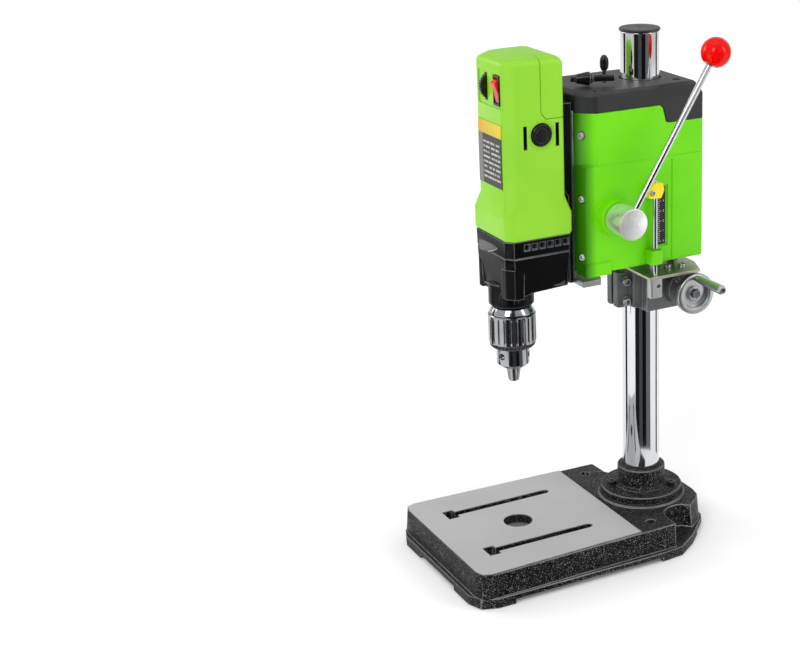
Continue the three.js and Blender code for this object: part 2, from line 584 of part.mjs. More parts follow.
function chuckBody() {
  const profile = [[0, noseBottom], [12.8, noseBottom], [noseRadius, noseBottom + 3.2],
    [noseRadius, sleeveBottom - 0.4], [18.4, sleeveBottom + 1.6], [18.4, sleeveTop + 0.4],
    [21.8, sleeveTop + 0.4], [21.8, sleeveTop + 2], [19, chuckTop], [0, chuckTop]];
  const ways = [0, 1, 2].map((i) => turned(rod(jawRadius + 0.35, -12, 33), 0, spindleY, 20, jawPlace(i)));
  const keyHoles = [0, 1, 2].map((i) => {
    const turn = new THREE.Matrix4().makeRotationZ((2 * Math.PI * i) / 3 - 1.2);
    const lay = new THREE.Matrix4().makeRotationY(Math.PI / 2);
    const lift = new THREE.Matrix4().makeTranslation(0, 0, 215.8);
    return turned(rod(3.3, 12.2, 20), 0, spindleY, 14, lift.multiply(turn).multiply(lay));
  });
  return cut(turned(profile, 0, spindleY, 40), ...ways, ...keyHoles, post(0, spindleY, 6.3, 240.6, 270, 24),
    post(0, spindleY, 8.4, 257.6, 270, 28));
}

function chuckSleeve() {
  const flutes = 24;
  const outline = Array.from({ length: flutes * 4 }, (_, i) => {
    const a = (2 * Math.PI * (i + 0.5)) / (flutes * 4);
    const r = sleeveRadius - (i % 4 < 2 ? 0 : 1);
    return [r * Math.cos(a), spindleY + r * Math.sin(a)];
  });
  const trim = turned([[0, sleeveBottom], [20.8, sleeveBottom], [22.3, sleeveBottom + 1.6],
    [22.3, sleeveBottom + 4.2], [sleeveRadius, sleeveBottom + 5],
    [sleeveRadius, sleeveTop - 1.2], [sleeveRadius - 1.4, sleeveTop], [0, sleeveTop]], 0, spindleY, 48);
  return cut(common(slab(outline, sleeveBottom, sleeveTop), trim),
    post(0, spindleY, 18.7, 220, 262, 40), post(0, spindleY, 20.2, 220, sleeveBottom + 2.2, 40));
}

function jaw(index) {
  const low = (jawTip - noseBottom) / Math.cos((jawLean * Math.PI) / 180);
  const high = (jawTop - noseBottom) / Math.cos((jawLean * Math.PI) / 180);
  const barrel = turned(rod(jawRadius, low - 2, high), 0, spindleY, 20, jawPlace(index));
  const phase = (2 * Math.PI * index) / 3 - 0.6;
  const wedge = [[0.35, 0], [20.35, -34], [20.35, 34]].map(([u, v]) => [
    u * Math.cos(phase) - v * Math.sin(phase), spindleY + u * Math.sin(phase) + v * Math.cos(phase)]);
  return common(barrel, slab(wedge, jawTip, 240));
}

// ---- chuck key ----
function keyFrame() {
  const from = new THREE.Vector3(keyBed[0], keyBed[1], keyZ);
  const along = new THREE.Vector3(keyEnd[0] - keyBed[0], keyEnd[1] - keyBed[1], 0).normalize();
  const turn = new THREE.Quaternion().setFromUnitVectors(new THREE.Vector3(0, 0, 1), along);
  return new THREE.Matrix4().compose(from, turn, new THREE.Vector3(1, 1, 1));
}

function chuckKey() {
  const shaft = turned([[0, 0], [2.4, 0], [2.8, 0.8], [2.8, 4.5], [4.2, 5.5], [6.5, 16.5], [6.2, 18.5],
    [4.4, 19], [4.4, 21], [3.2, 21.6], [3.2, 41.4], [2.6, 42], [0, 42]], 0, 0, 24, keyFrame());
  const [x, y] = [keyBed[0] + (keyEnd[0] - keyBed[0]) * 0.76, keyBed[1] + (keyEnd[1] - keyBed[1]) * 0.76];
  const bar = post(x, y, 1.9, keyZ - 4.6, 490, 16);
  const paddle = turned([[0, 484], [2.6, 484.6], [4.1, 488], [4.3, 492], [3.8, 496], [2.2, 498.6],
    [0, 499.4]], x, y, 20);
  return join(shaft, bar, paddle);
}

// ---- assembly ----
const finishes = {
  castIron: ['#1c1d1f', 0.7, 0.4], ironBlack: ['#242527', 0.55, 0.4], chrome: ['#d5d8db', 0.12, 1],
  steel: ['#a9adb1', 0.32, 0.95], zinc: ['#c4c6c8', 0.3, 0.9], green: ['#5fc60a', 0.38, 0.05],
  motorGreen: ['#9be03a', 0.42, 0], coverGrey: ['#3b3b3e', 0.5, 0], gearPlastic: ['#1f2124', 0.45, 0],
  blackPlastic: ['#121314', 0.4, 0], aluminium: ['#c9cbcc', 0.35, 0.95], bronzeGrey: ['#8d8972', 0.4, 0.8],
  red: ['#e01208', 0.15, 0], yellow: ['#f3d21c', 0.4, 0], label: ['#c9b414', 0.5, 0],
};

const parts = [
  ['base_casting', baseCasting, 'castIron'], ['column_flange', columnFlange, 'ironBlack'],
  ...flangeScrews.map((spot, i) => [`flange_screw_${i + 1}`, () => flangeScrew(spot), 'ironBlack']),
  ['column_bar', columnBar, 'chrome'], ['column_cap', columnCap, 'steel'],
  ['collar_body', collarBody, 'ironBlack'],
  ['clamp_screw_upper', () => clampScrew(clampScrewHeights[0]), 'zinc'],
  ['clamp_screw_lower', () => clampScrew(clampScrewHeights[1]), 'zinc'],
  ['collar_plate', collarPlate, 'bronzeGrey'],
  ...plateBolts.map((spot, i) => [`plate_bolt_${i + 1}`, () => plateBolt(spot), 'zinc']),
  ['rod_block', rodBlock, 'aluminium'], ['rod_block_screw', rodBlockScrew, 'ironBlack'],
  ['depth_rod', depthRod, 'chrome'], ['depth_pointer', depthPointer, 'yellow'],
  ['pointer_screw', pointerScrew, 'zinc'], ['lift_screw', liftScrew, 'steel'],
  ['wheel_flange', wheelFlange, 'ironBlack'],
  ...wheelFlangeScrews.map((spot, i) => [
    `wheel_flange_screw_${i + 1}`, () => wheelFlangeScrew(spot), 'zinc']),
  ['wheel_shaft', wheelShaft, 'steel'], ['handwheel', handwheel, 'aluminium'],
  ['wheel_nut', wheelNut, 'zinc'], ['crank_pin', crankPin, 'steel'], ['crank_handle', crankHandle, 'chrome'],
  ['head_housing', headHousing, 'green'], ['top_cover', topCover, 'coverGrey'],
  ['scale_plate', scalePlate, 'blackPlastic'], ['spring_housing', springHousing, 'ironBlack'],
  ...gibSeats.map((z, i) => [`gib_screw_${i + 1}`, () => gibScrew(z), 'zinc']),
  ['feed_shaft', feedShaft, 'steel'], ['feed_hub', feedHub, 'aluminium'], ['lever_rod', leverRod, 'chrome'],
  ['lever_knob', leverKnob, 'red'], ['feed_slide', feedSlide, 'aluminium'], ['feed_rack', feedRack, 'steel'],
  ['motor_bracket', motorBracket, 'gearPlastic'], ['motor_shell', motorShell, 'motorGreen'],
  ['motor_cap', motorCap, 'motorGreen'], ['brush_cap_right', () => brushCap(1), 'blackPlastic'],
  ['brush_cap_left', () => brushCap(-1), 'blackPlastic'], ['speed_dial', speedDial, 'blackPlastic'],
  ['switch_frame', switchFrame, 'blackPlastic'], ['power_rocker', rocker, 'red'],
  ['label_plate', labelPlate, 'label'], ['gearbox_housing', gearboxHousing, 'gearPlastic'],
  ['spindle', spindle, 'steel'], ['chuck_body', chuckBody, 'steel'], ['chuck_sleeve', chuckSleeve, 'steel'],
  ...[0, 1, 2].map((i) => [`chuck_jaw_${i + 1}`, () => jaw(i), 'steel']),
  ['chuck_key', chuckKey, 'ironBlack'],
];

const drillPress = new THREE.Group();
drillPress.name = 'drill_press';
parts.forEach(([name, make, finish]) => {
  const [color, roughness, metalness] = finishes[finish];
  const material = new THREE.MeshStandardMaterial({ color, roughness, metalness });
  const mesh = new THREE.Mesh(toGeometry(make()).translate(...shiftToBoxCentre), material);
  mesh.name = name;
  drillPress.add(mesh);
});

export default drillPress;
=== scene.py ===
# Looks for the bench drill press: fine surfaces, finishes, camera and studio round the frame.
import math
import bmesh
import bpy
import numpy as np
from mathutils import Matrix, Vector
from mathutils.bvhtree import BVHTree


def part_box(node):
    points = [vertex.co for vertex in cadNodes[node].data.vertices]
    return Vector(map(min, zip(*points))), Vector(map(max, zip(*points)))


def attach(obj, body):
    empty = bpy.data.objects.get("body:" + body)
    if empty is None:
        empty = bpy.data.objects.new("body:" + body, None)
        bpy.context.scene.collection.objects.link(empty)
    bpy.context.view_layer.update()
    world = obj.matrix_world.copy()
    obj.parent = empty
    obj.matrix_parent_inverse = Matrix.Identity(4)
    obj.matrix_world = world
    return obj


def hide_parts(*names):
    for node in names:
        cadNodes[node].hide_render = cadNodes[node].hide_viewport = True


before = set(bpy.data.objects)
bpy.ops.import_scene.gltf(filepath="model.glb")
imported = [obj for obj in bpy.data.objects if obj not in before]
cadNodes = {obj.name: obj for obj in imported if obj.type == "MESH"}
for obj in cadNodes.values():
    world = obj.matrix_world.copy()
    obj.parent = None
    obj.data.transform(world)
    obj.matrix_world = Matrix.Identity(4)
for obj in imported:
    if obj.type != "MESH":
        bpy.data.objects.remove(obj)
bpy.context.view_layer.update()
print("frame loaded:", len(cadNodes), "nodes")

mm = 0.001
columnAt = (-7, 92, 0)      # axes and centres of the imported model, millimetres
spindleAt = (-7, -52.5, 0)
feedAt = (0, 34.2, 351.9)
wheelAt = (0, 119, 262.8)
crankAt = (0, 119, 279.4)
upward, rightward = (0, 0, 1), (1, 0, 0)

# how finishes read their two noises, clouds and grain, and their corners, lightened by wear and a
# painted highlight
noise = {"low": 0.35, "high": 0.65, "cloudDetail": 3.0, "grainDetail": 4.0, "grainRough": 0.6,
         "cloudShare": 0.6, "grainShare": 0.4, "paintedGlintFade": 0.08, "edgeReach": 0.97,
         "patchFrom": 0.3, "patchTo": 0.7, "wearAndHighlightUsual": (0.3, 0.9)}


# sRGB hex code to linear light
def tint(code):
    value = np.array([int(code[i:i + 2], 16) for i in (1, 3, 5)]) / 255
    linear = np.where(value <= 0.04045, value / 12.92, ((value + 0.055) / 1.055) ** 2.4)
    return (*linear.tolist(), 1.0)


# shader node with its settings; an input is a number or another node's socket
def addNode(tree, kind, inputs=None, **settings):
    node = tree.nodes.new("ShaderNode" + kind)
    for key, value in settings.items():
        setattr(node, key, value)
    for socket, value in (inputs or {}).items():
        if isinstance(value, bpy.types.NodeSocket):
            tree.links.new(value, node.inputs[socket])
        else:
            node.inputs[socket].default_value = value
    return node


def addMath(tree, operation, a, b=0.0):
    return addNode(tree, "Math", {0: a, 1: b}, operation=operation).outputs[0]


def mixColour(tree, factor, a, b):
    return addNode(tree, "Mix", {0: factor, 6: a, 7: b}, data_type="RGBA").outputs[2]


# straight line from low to high, held level outside them
def spread(tree, value, low, high, toLow=0.0, toHigh=1.0):
    return addNode(tree, "MapRange", {0: value, 1: low, 2: high, 3: toLow, 4: toHigh}).outputs[0]


# 1 on rounded-off corners, 0 on flats: the true normal against one averaged over a small radius
def edgeMask(tree, radius):
    soft = addNode(tree, "Bevel", {"Radius": radius}, samples=4).outputs[0]
    true = addNode(tree, "NewGeometry").outputs["Normal"]
    agree = addNode(tree, "VectorMath", {0: soft, 1: true}, operation="DOT_PRODUCT")
    return spread(tree, agree.outputs["Value"], 1.0, noise["edgeReach"])


def newMaterial(name):
    material = bpy.data.materials.new(name)
    material.use_nodes = True
    tree = material.node_tree
    place = addNode(tree, "TexCoord").outputs["Object"]
    return material, tree, tree.nodes["Principled BSDF"], place


# distance from a turning axis, so that tool marks run in rings
def ringLay(tree, place, centre, axis):
    moved = addNode(tree, "Mapping", {"Vector": place, "Location": [-c * mm for c in centre]})
    parts = addNode(tree, "SeparateXYZ", {0: moved.outputs[0]}).outputs
    a, b = [parts[i] for i in range(3) if i != axis]
    square = addMath(tree, "ADD", addMath(tree, "MULTIPLY", a, a), addMath(tree, "MULTIPLY", b, b))
    reach = addMath(tree, "SQRT", square)
    return addNode(tree, "CombineXYZ", {0: reach, 1: 0.0, 2: 0.0}).outputs[0]


# colour from clouds, painted glints, painted shade at the front and edge wear with a painted
# highlight in turn; roughness from both noises
def makeFinish(name, look):
    material, tree, shader, place = newMaterial(name)
    lay = place
    if "rings" in look:
        lay = ringLay(tree, place, *look["rings"])
    elif "stretch" in look:
        lay = addNode(tree, "Mapping", {"Vector": place, "Scale": look["stretch"]}).outputs[0]
    cloud = addNode(tree, "TexNoise", {"Vector": place, "Scale": look["cloud"],
                                       "Detail": noise["cloudDetail"]}).outputs[0]
    grain = addNode(tree, "TexNoise", {"Vector": lay, "Scale": look["grain"],
                                       "Detail": noise["grainDetail"],
                                       "Roughness": noise["grainRough"]}).outputs[0]
    patchy = spread(tree, cloud, noise["low"], noise["high"])
    colour = mixColour(tree, patchy, tint(look["colour"]), tint(look["deep"]))
    # painted glints: light specks where the grain noise is high
    if "paintedGlint" in look:
        bright = spread(tree, grain, look["paintedGlintFrom"], look["paintedGlintFrom"] + noise["paintedGlintFade"])
        colour = mixColour(tree, bright, colour, tint(look["paintedGlint"]))
    if "paintedShade" in look:      # painted shade: darker towards the front edge, where the motor shades the chamfer
        along = addNode(tree, "SeparateXYZ", {0: place}).outputs[1]
        front = spread(tree, along, look["paintedShadeFrom"] * mm, look["paintedShadeTo"] * mm, 1.0, 0.0)
        colour = mixColour(tree, front, colour, tint(look["paintedShade"]))
    # edge wear with a painted highlight: a lighter colour on rounded-off edges
    if "wearAndHighlight" in look:
        wornAndLit = addMath(tree, "MULTIPLY", edgeMask(tree, look["wearAndHighlightRadius"] * mm),
                       spread(tree, cloud, noise["patchFrom"], noise["patchTo"],
                              *look.get("wornAndLit", noise["wearAndHighlightUsual"])))
        colour = mixColour(tree, wornAndLit, colour, tint(look["wearAndHighlight"]))
    tree.links.new(colour, shader.inputs["Base Color"])
    low, high = look["roughness"]
    blend = addMath(tree, "ADD", addMath(tree, "MULTIPLY", cloud, noise["cloudShare"]),
                    addMath(tree, "MULTIPLY", grain, noise["grainShare"]))
    rough = spread(tree, blend, noise["low"], noise["high"], low, high)
    tree.links.new(rough, shader.inputs["Roughness"])
    bump = addNode(tree, "Bump", {"Height": grain, "Strength": look["bump"],
                                  "Distance": look["depth"] * mm})
    tree.links.new(bump.outputs[0], shader.inputs["Normal"])
    if "rings" in look:
        tangent = addNode(tree, "Tangent", direction_type="RADIAL", axis="XYZ"[look["rings"][1]])
        tree.links.new(tangent.outputs[0], shader.inputs["Tangent"])
    for socket, value in look.get("sockets", {}).items():
        shader.inputs[socket].default_value = value
    return material


metal = {"Metallic": 1.0}
# edge colours in these looks lighten rounded-off edges: wear with a painted highlight
looks = {
    # headGreen: painted shade darkens the front chamfer
    "headGreen": {"colour": "#6ed600", "deep": "#64cc00", "cloud": 14, "grain": 900,
        "roughness": (0.3, 0.4), "paintedShade": "#0a4a02", "paintedShadeFrom": 2.0, "paintedShadeTo": 16.0,
        "bump": 0.25, "depth": 0.05, "sockets": {"Specular IOR Level": 0.28}},
    "motorGreen": {"colour": "#8fd222", "deep": "#86cb1b", "cloud": 12, "grain": 1300,
        "roughness": (0.34, 0.44), "bump": 0.3, "depth": 0.04},
    # wrinkleBlack: its speck colour is painted glints
    "wrinkleBlack": {"colour": "#0a0a0b", "deep": "#040404", "cloud": 30, "grain": 1000,
        "roughness": (0.3, 0.48), "bump": 1.0, "depth": 0.9, "paintedGlint": "#a6a6a9",
        "paintedGlintFrom": 0.575, "wearAndHighlight": "#b4b5b7", "wearAndHighlightRadius": 1.1, "wornAndLit": (0.4, 1.0),
        "sockets": {"Specular IOR Level": 0.13}},
    "groundTable": {"colour": "#bdbdbd", "deep": "#b6b6b7", "cloud": 10, "grain": 260,
        "stretch": (1, 14, 14), "roughness": (0.42, 0.55), "bump": 0.15, "depth": 0.03,
        "sockets": {"Metallic": 0.25}},
    "satinBlack": {"colour": "#1d1e20", "deep": "#151617", "cloud": 25, "grain": 900,
        "roughness": (0.3, 0.42), "bump": 0.4, "depth": 0.08, "wearAndHighlight": "#8f9194",
        "wearAndHighlightRadius": 0.5, "sockets": {"Metallic": 0.2}},
    "collarSteel": {"colour": "#6a6b6d", "deep": "#4d4e50", "cloud": 22, "grain": 300,
        "stretch": (1, 1, 8), "roughness": (0.3, 0.45), "bump": 0.6, "depth": 0.1,
        "wearAndHighlight": "#dcdcdc", "wearAndHighlightRadius": 0.6, "sockets": {"Metallic": 0.35}},
    "chuckChrome": {"colour": "#b2b4b7", "deep": "#98999c", "cloud": 30, "grain": 600,
        "stretch": (1, 1, 6), "roughness": (0.1, 0.18), "bump": 0.15, "depth": 0.02,
        "sockets": metal},
    "mirrorChrome": {"colour": "#dfe1e3", "deep": "#d6d8da", "cloud": 9, "grain": 500,
        "stretch": (1, 1, 6), "roughness": (0.05, 0.1), "bump": 0.08, "depth": 0.02,
        "sockets": metal},
    "turnedSteel": {"colour": "#b9bbbe", "deep": "#a4a6a9", "cloud": 30, "grain": 700,
        "stretch": (1, 1, 10), "roughness": (0.2, 0.32), "bump": 0.2, "depth": 0.03,
        "sockets": metal},
    "zincScrew": {"colour": "#c6c8c9", "deep": "#aeb0b2", "cloud": 120, "grain": 1500,
        "roughness": (0.2, 0.34), "bump": 0.3, "depth": 0.03, "sockets": metal},
    "platedBronze": {"colour": "#c9c5b4", "deep": "#b3ae9b", "cloud": 40, "grain": 500,
        "stretch": (8, 1, 1), "roughness": (0.28, 0.4), "bump": 0.25, "depth": 0.04,
        "sockets": metal},
    "castAluminium": {"colour": "#cfd0d0", "deep": "#bcbdbe", "cloud": 45, "grain": 900,
        "roughness": (0.3, 0.42), "bump": 0.4, "depth": 0.05, "sockets": metal},
    "spunHub": {"colour": "#f4f4f4", "deep": "#e6e7e8", "cloud": 30, "grain": 2200,
        "rings": (feedAt, 0), "roughness": (0.2, 0.32), "bump": 0.35, "depth": 0.05,
        "sockets": {"Metallic": 0.72, "Anisotropic": 0.85}},
    "spunWheel": {"colour": "#c9cacb", "deep": "#b4b5b6", "cloud": 30, "grain": 2200,
        "rings": (wheelAt, 0), "roughness": (0.24, 0.38), "bump": 0.35, "depth": 0.05,
        "sockets": {"Metallic": 1.0, "Anisotropic": 0.6}},
    "blackCase": {"colour": "#0c0d0e", "deep": "#070708", "cloud": 30, "grain": 1400,
        "roughness": (0.24, 0.34), "bump": 0.35, "depth": 0.05, "wearAndHighlight": "#989ba0",
        "wearAndHighlightRadius": 0.7, "wornAndLit": (0.45, 1.0), "sockets": {"Specular IOR Level": 0.1}},
    "keyBlack": {"colour": "#0d0d0e", "deep": "#070708", "cloud": 60, "grain": 1200,
        "roughness": (0.14, 0.24), "bump": 0.3, "depth": 0.04, "wearAndHighlight": "#d4d6d8",
        "wearAndHighlightRadius": 0.5, "wornAndLit": (0.5, 1.0), "sockets": {"Metallic": 0.3}},
    "caseGlint": {"colour": "#4e4d4b", "deep": "#3d3c3b", "cloud": 60, "grain": 900,
        "stretch": (1, 1, 5), "roughness": (0.26, 0.38), "bump": 0.4, "depth": 0.05,
        "sockets": {"Metallic": 0.2}},
    # painted highlight: light grey for the bright lines on the gear case
    "casePaintedHighlight": {"colour": "#b3b5b7", "deep": "#98999b", "cloud": 60, "grain": 1200,
        "roughness": (0.25, 0.36), "bump": 0.3, "depth": 0.03, "sockets": {"Metallic": 0.3}},
    # coverGrey: painted shade darkens the front chamfer
    "coverGrey": {"colour": "#28282a", "deep": "#232325", "cloud": 16, "grain": 1500,
        "paintedShade": "#111112", "paintedShadeFrom": 1.5, "paintedShadeTo": 14.0, "roughness": (0.42, 0.55),
        "bump": 0.5, "depth": 0.05},
    "blackPlastic": {"colour": "#0f1011", "deep": "#0a0a0b", "cloud": 40, "grain": 1500,
        "roughness": (0.22, 0.34), "bump": 0.3, "depth": 0.03},
    "rockerRed": {"colour": "#e01a12", "deep": "#c8120c", "cloud": 60, "grain": 1500,
        "roughness": (0.14, 0.22), "bump": 0.1, "depth": 0.02},
    "ballRed": {"colour": "#e40200", "deep": "#d80200", "cloud": 30, "grain": 800,
        "roughness": (0.1, 0.13), "bump": 0.02, "depth": 0.002,
        "sockets": {"Specular IOR Level": 0.2}},
    "pointerYellow": {"colour": "#fbe81a", "deep": "#f4dc12", "cloud": 60, "grain": 1200,
        "roughness": (0.3, 0.4), "bump": 0.3, "depth": 0.04},
    "scaleWhite": {"colour": "#e8e8e6", "deep": "#dcdcda", "cloud": 60, "grain": 1500,
        "roughness": (0.4, 0.5), "bump": 0.1, "depth": 0.01},
}
finishes = {name: makeFinish(name, look) for name, look in looks.items()}
print("finishes made:", len(finishes))

sharpFrom = 38      # degrees between faces from which an edge stays sharp
weld, tiny = 2e-6, 1e-6      # metres: corners this close are one; no length


# merged, outward-facing mesh object from corner points and quads
def meshPiece(name, corners, quads, body, finish, replaced=(), crease=sharpFrom):
    mesh = bpy.data.meshes.new(name)
    mesh.from_pydata((np.asarray(corners) * mm).tolist(), [], np.asarray(quads).tolist())
    work = bmesh.new()
    work.from_mesh(mesh)
    bmesh.ops.remove_doubles(work, verts=work.verts, dist=weld)
    bmesh.ops.dissolve_degenerate(work, edges=work.edges, dist=tiny)
    bmesh.ops.recalc_face_normals(work, faces=work.faces)
    work.to_mesh(mesh)
    work.free()
    piece = bpy.data.objects.new(name, mesh)
    bpy.context.scene.collection.objects.link(piece)
    mesh.materials.append(finishes[finish])
    mesh.shade_smooth()
    mesh.set_sharp_from_angle(angle=math.radians(crease))
    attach(piece, body)
    if replaced:
        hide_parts(*replaced)
    return piece


# quads of a rows by columns grid whose columns run round and meet
def roundQuads(rows, columns):
    k = np.arange(rows - 1)[:, None] * columns
    j = np.arange(columns)[None, :]
    after = (j + 1) % columns
    around = np.stack([k + j, k + after, k + columns + after, k + columns + j], -1)
    return around.reshape(-1, 4)


# every inner corner becomes a short parabola between points set back along its two sides
def easedLine(line, ease, steps=4, share=0.42):
    line = np.asarray(line, float)
    back, here, ahead = line[:-2], line[1:-1], line[2:]
    backLength = np.linalg.norm(here[:, :2] - back[:, :2], axis=1)[:, None]
    aheadLength = np.linalg.norm(ahead[:, :2] - here[:, :2], axis=1)[:, None]
    reach = np.minimum(ease, share * np.minimum(backLength, aheadLength))
    start = here + (back - here) * reach / np.maximum(backLength, tiny)
    end = here + (ahead - here) * reach / np.maximum(aheadLength, tiny)
    t = np.linspace(0, 1, steps)[None, :, None]
    bend = (1 - t) ** 2 * start[:, None] + 2 * t * (1 - t) * here[:, None] + t ** 2 * end[:, None]
    return np.vstack([line[:1], bend.reshape(-1, line.shape[1]), line[-1:]])


# two directions square to an axis, and the axis itself
def crossAxes(direction):
    along = Vector(direction).normalized()
    first = along.orthogonal().normalized() if abs(along.z) < 0.999 else Vector((1, 0, 0))
    return np.array(first), np.array(along.cross(first)), np.array(along)


# turned surface: centre + height along the axis + radius (cos a, sin a) across it; a row's third
# value bends the round into a hexagon of that flat distance, and ripple scales the radius by angle
def turned(name, line, body, finish, replaced=(), at=columnAt, axis=upward, ease=0.4, sides=96,
           ripple=None, crease=sharpFrom):
    line = np.array([[*row, 0.0][:3] for row in line], float)
    rows = easedLine(line, ease) if ease else line
    angle = np.linspace(0, 2 * math.pi, sides, endpoint=False)[None, :]
    radius, height, hexed = [rows[:, k][:, None] for k in range(3)]
    corner = 1 / np.cos((angle + math.pi / 6) % (math.pi / 3) - math.pi / 6)
    radius = radius * (1 + hexed * (corner - 1))
    if ripple:
        radius = ripple(radius, height, angle)
    first, second, along = crossAxes(axis)
    corners = (np.array(at, float) + height[..., None] * along
               + (radius * np.cos(angle))[..., None] * first
               + (radius * np.sin(angle))[..., None] * second)
    return meshPiece(name, corners.reshape(-1, 3), roundQuads(len(rows), sides), body, finish,
                     replaced, crease)


# (radius, height) outlines for turned: a solid bar, and a tube that closes on itself
def barLine(radius, low, high):
    return [[0, low], [radius, low], [radius, high], [0, high]]


def tubeLine(bore, radius, low, high):
    return [[bore, low], [radius, low], [radius, high], [bore, high], [bore, low]]


socket = {"edge": 0.5, "mouth": 1.25, "mouthDeep": 0.3, "ease": 0.25, "sides": 48}


# socket screw: shank, eased head and a six-sided recess
def socketScrew(name, body, finish, at, axis, size):
    low, shank, seat, head, top, key, deep = [
        size[k] for k in ("low", "shank", "seat", "head", "top", "key", "deep")]
    line = [[0, low], [shank, low], [shank, seat], [head, seat],
            [head, top - socket["edge"]], [head - socket["edge"], top],
            [key * socket["mouth"], top], [key, top - socket["mouthDeep"], 1],
            [key, top - deep, 1], [0, top - deep, 1]]
    return turned(name + "Fine", line, body, finish, (name,), at, axis, socket["ease"],
                  socket["sides"])


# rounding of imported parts: lengths in millimetres, angles in radians
rounding = {"merge": 0.01, "sliver": 0.06, "flat": math.radians(0.7), "straight": 0.004,
            "shortest": 0.3, "tries": 40, "near": 2.2, "smallest": 0.04, "turnedOver": -0.3,
            "gap": 0.6, "slack": 0.01, "sweeps": 3}


def isSliver(face):
    longest = max(edge.calc_length() for edge in face.edges)
    return 2 * face.calc_area() < rounding["sliver"] * mm * longest


# joins the two faces of an edge where they meet along one unbroken run of edges
def joinOver(edge):
    if len(edge.link_faces) != 2:
        return
    a, b = edge.link_faces
    shared = [side for side in a.edges if b in side.link_faces]
    corners = {corner for side in shared for corner in side.verts}
    if len(corners) == len(shared) + 1 and len(set(a.verts) & set(b.verts)) == len(corners):
        bmesh.utils.face_join((a, b), True)


# slivers go into a neighbour, flat neighbours into one face, and straight runs lose their corners
def joinFlats(work):
    for sweep in range(rounding["sweeps"]):
        for face in list(work.faces):
            if face.is_valid and isSliver(face):
                joinOver(max(face.edges, key=lambda edge: edge.calc_length()))
    work.normal_update()
    for sweep in range(rounding["sweeps"]):
        for edge in sorted(work.edges, key=lambda edge: -edge.calc_length()):
            if edge.is_valid and edge.calc_face_angle(math.inf) < rounding["flat"]:
                joinOver(edge)
    work.normal_update()
    straight = []
    for corner in work.verts:
        if len(corner.link_edges) == 2:
            one, two = [edge.other_vert(corner).co - corner.co for edge in corner.link_edges]
            if one.length and two.length and one.angle(two) > math.pi - rounding["straight"]:
                straight.append(corner)
    bmesh.ops.dissolve_verts(work, verts=straight)


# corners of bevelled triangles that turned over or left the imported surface
def foldedCorners(trial, surface, width):
    folded = []
    farthest = rounding["gap"] * width + rounding["slack"] * mm
    for triangle in trial.calc_loop_triangles():
        a, b, c = [loop.vert.co for loop in triangle]
        normal = (b - a).cross(c - a)
        if normal.length > rounding["smallest"] * mm * mm:
            facing, gap = surface.find_nearest((a + b + c) / 3)[1::2]
            if facing.dot(normal.normalized()) < rounding["turnedOver"] or gap > farthest:
                folded += [a[:], b[:], c[:]]
    return np.array(folded)


# lengths and numbers of the chosen edges that end close to a folded corner, shortest first
def nearFolds(work, chosen, folded, reach):
    near = []
    for i in chosen if len(folded) else ():
        edge = work.edges[i]
        gaps = [np.linalg.norm(folded - np.array(end.co), axis=1).min() for end in edge.verts]
        if min(gaps) < reach:
            near.append((edge.calc_length(), i))
    return sorted(near)


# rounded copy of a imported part; edges whose bevel folds a face are dropped, shortest third first
def softened(node, body, finish, width, segments=2, angle=35):
    packed = cadNodes[node].data
    surface = BVHTree.FromPolygons([corner.co for corner in packed.vertices],
                                   [face.vertices for face in packed.polygons])
    work = bmesh.new()
    work.from_mesh(packed)
    bmesh.ops.remove_doubles(work, verts=work.verts, dist=rounding["merge"] * mm)
    bmesh.ops.dissolve_degenerate(work, edges=work.edges, dist=rounding["merge"] * mm)
    joinFlats(work)
    work.edges.index_update()
    work.edges.ensure_lookup_table()
    chosen = [edge.index for edge in work.edges
              if edge.calc_face_angle(0) > math.radians(angle)
              and edge.calc_length() > rounding["shortest"] * mm]
    for attempt in range(rounding["tries"]):
        trial = work.copy()
        trial.edges.ensure_lookup_table()
        bmesh.ops.bevel(trial, geom=[trial.edges[i] for i in chosen], offset=width * mm,
                        segments=segments, profile=0.5, affect="EDGES", offset_type="OFFSET",
                        clamp_overlap=False)
        folded = foldedCorners(trial, surface, width * mm)
        near = nearFolds(work, chosen, folded, rounding["near"] * width * mm)
        if not near:
            break
        dropped = {i for length, i in near[:max(1, len(near) // 3)]}
        chosen = [i for i in chosen if i not in dropped]
        trial.free()
    for face in trial.faces:
        face.material_index = 0
        face.smooth = True
    mesh = bpy.data.meshes.new(node + "Fine")
    trial.to_mesh(mesh)
    trial.free()
    work.free()
    mesh.materials.append(finishes[finish])
    places = np.zeros(len(mesh.vertices) * 3)
    mesh.vertices.foreach_get("co", places)
    low, high = [np.array(corner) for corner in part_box(node)]
    mesh.vertices.foreach_set("co", np.clip(places.reshape(-1, 3), low, high).ravel())
    mesh.set_sharp_from_angle(angle=math.radians(sharpFrom))
    piece = bpy.data.objects.new(node + "Fine", mesh)
    bpy.context.scene.collection.objects.link(piece)
    flat = piece.modifiers.new("flatFaces", "WEIGHTED_NORMAL")
    flat.keep_sharp = True
    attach(piece, body)
    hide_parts(node)
    return piece


# second finish on the faces that a test of centres and normals picks, in millimetres
def paintFaces(piece, finish, test):
    mesh = piece.data
    mesh.materials.append(finishes[finish])
    count = len(mesh.polygons)
    centres, normals = np.zeros(count * 3), np.zeros(count * 3)
    mesh.polygons.foreach_get("center", centres)
    mesh.polygons.foreach_get("normal", normals)
    index = np.zeros(count, int)
    mesh.polygons.foreach_get("material_index", index)
    index[test(centres.reshape(-1, 3) / mm, normals.reshape(-1, 3))] = len(mesh.materials) - 1
    mesh.polygons.foreach_set("material_index", index)


# cast base with its machined table
base = {"round": 0.8, "segments": 3, "angle": 40, "tableAbove": 35.8, "tableBefore": 41.3}
baseSkin = softened("base_casting", "base", "wrinkleBlack", base["round"], base["segments"],
                    base["angle"])
paintFaces(baseSkin, "groundTable", lambda centre, normal: (normal[:, 2] > 0.9)
           & (centre[:, 2] > base["tableAbove"]) & (centre[:, 1] < base["tableBefore"]))

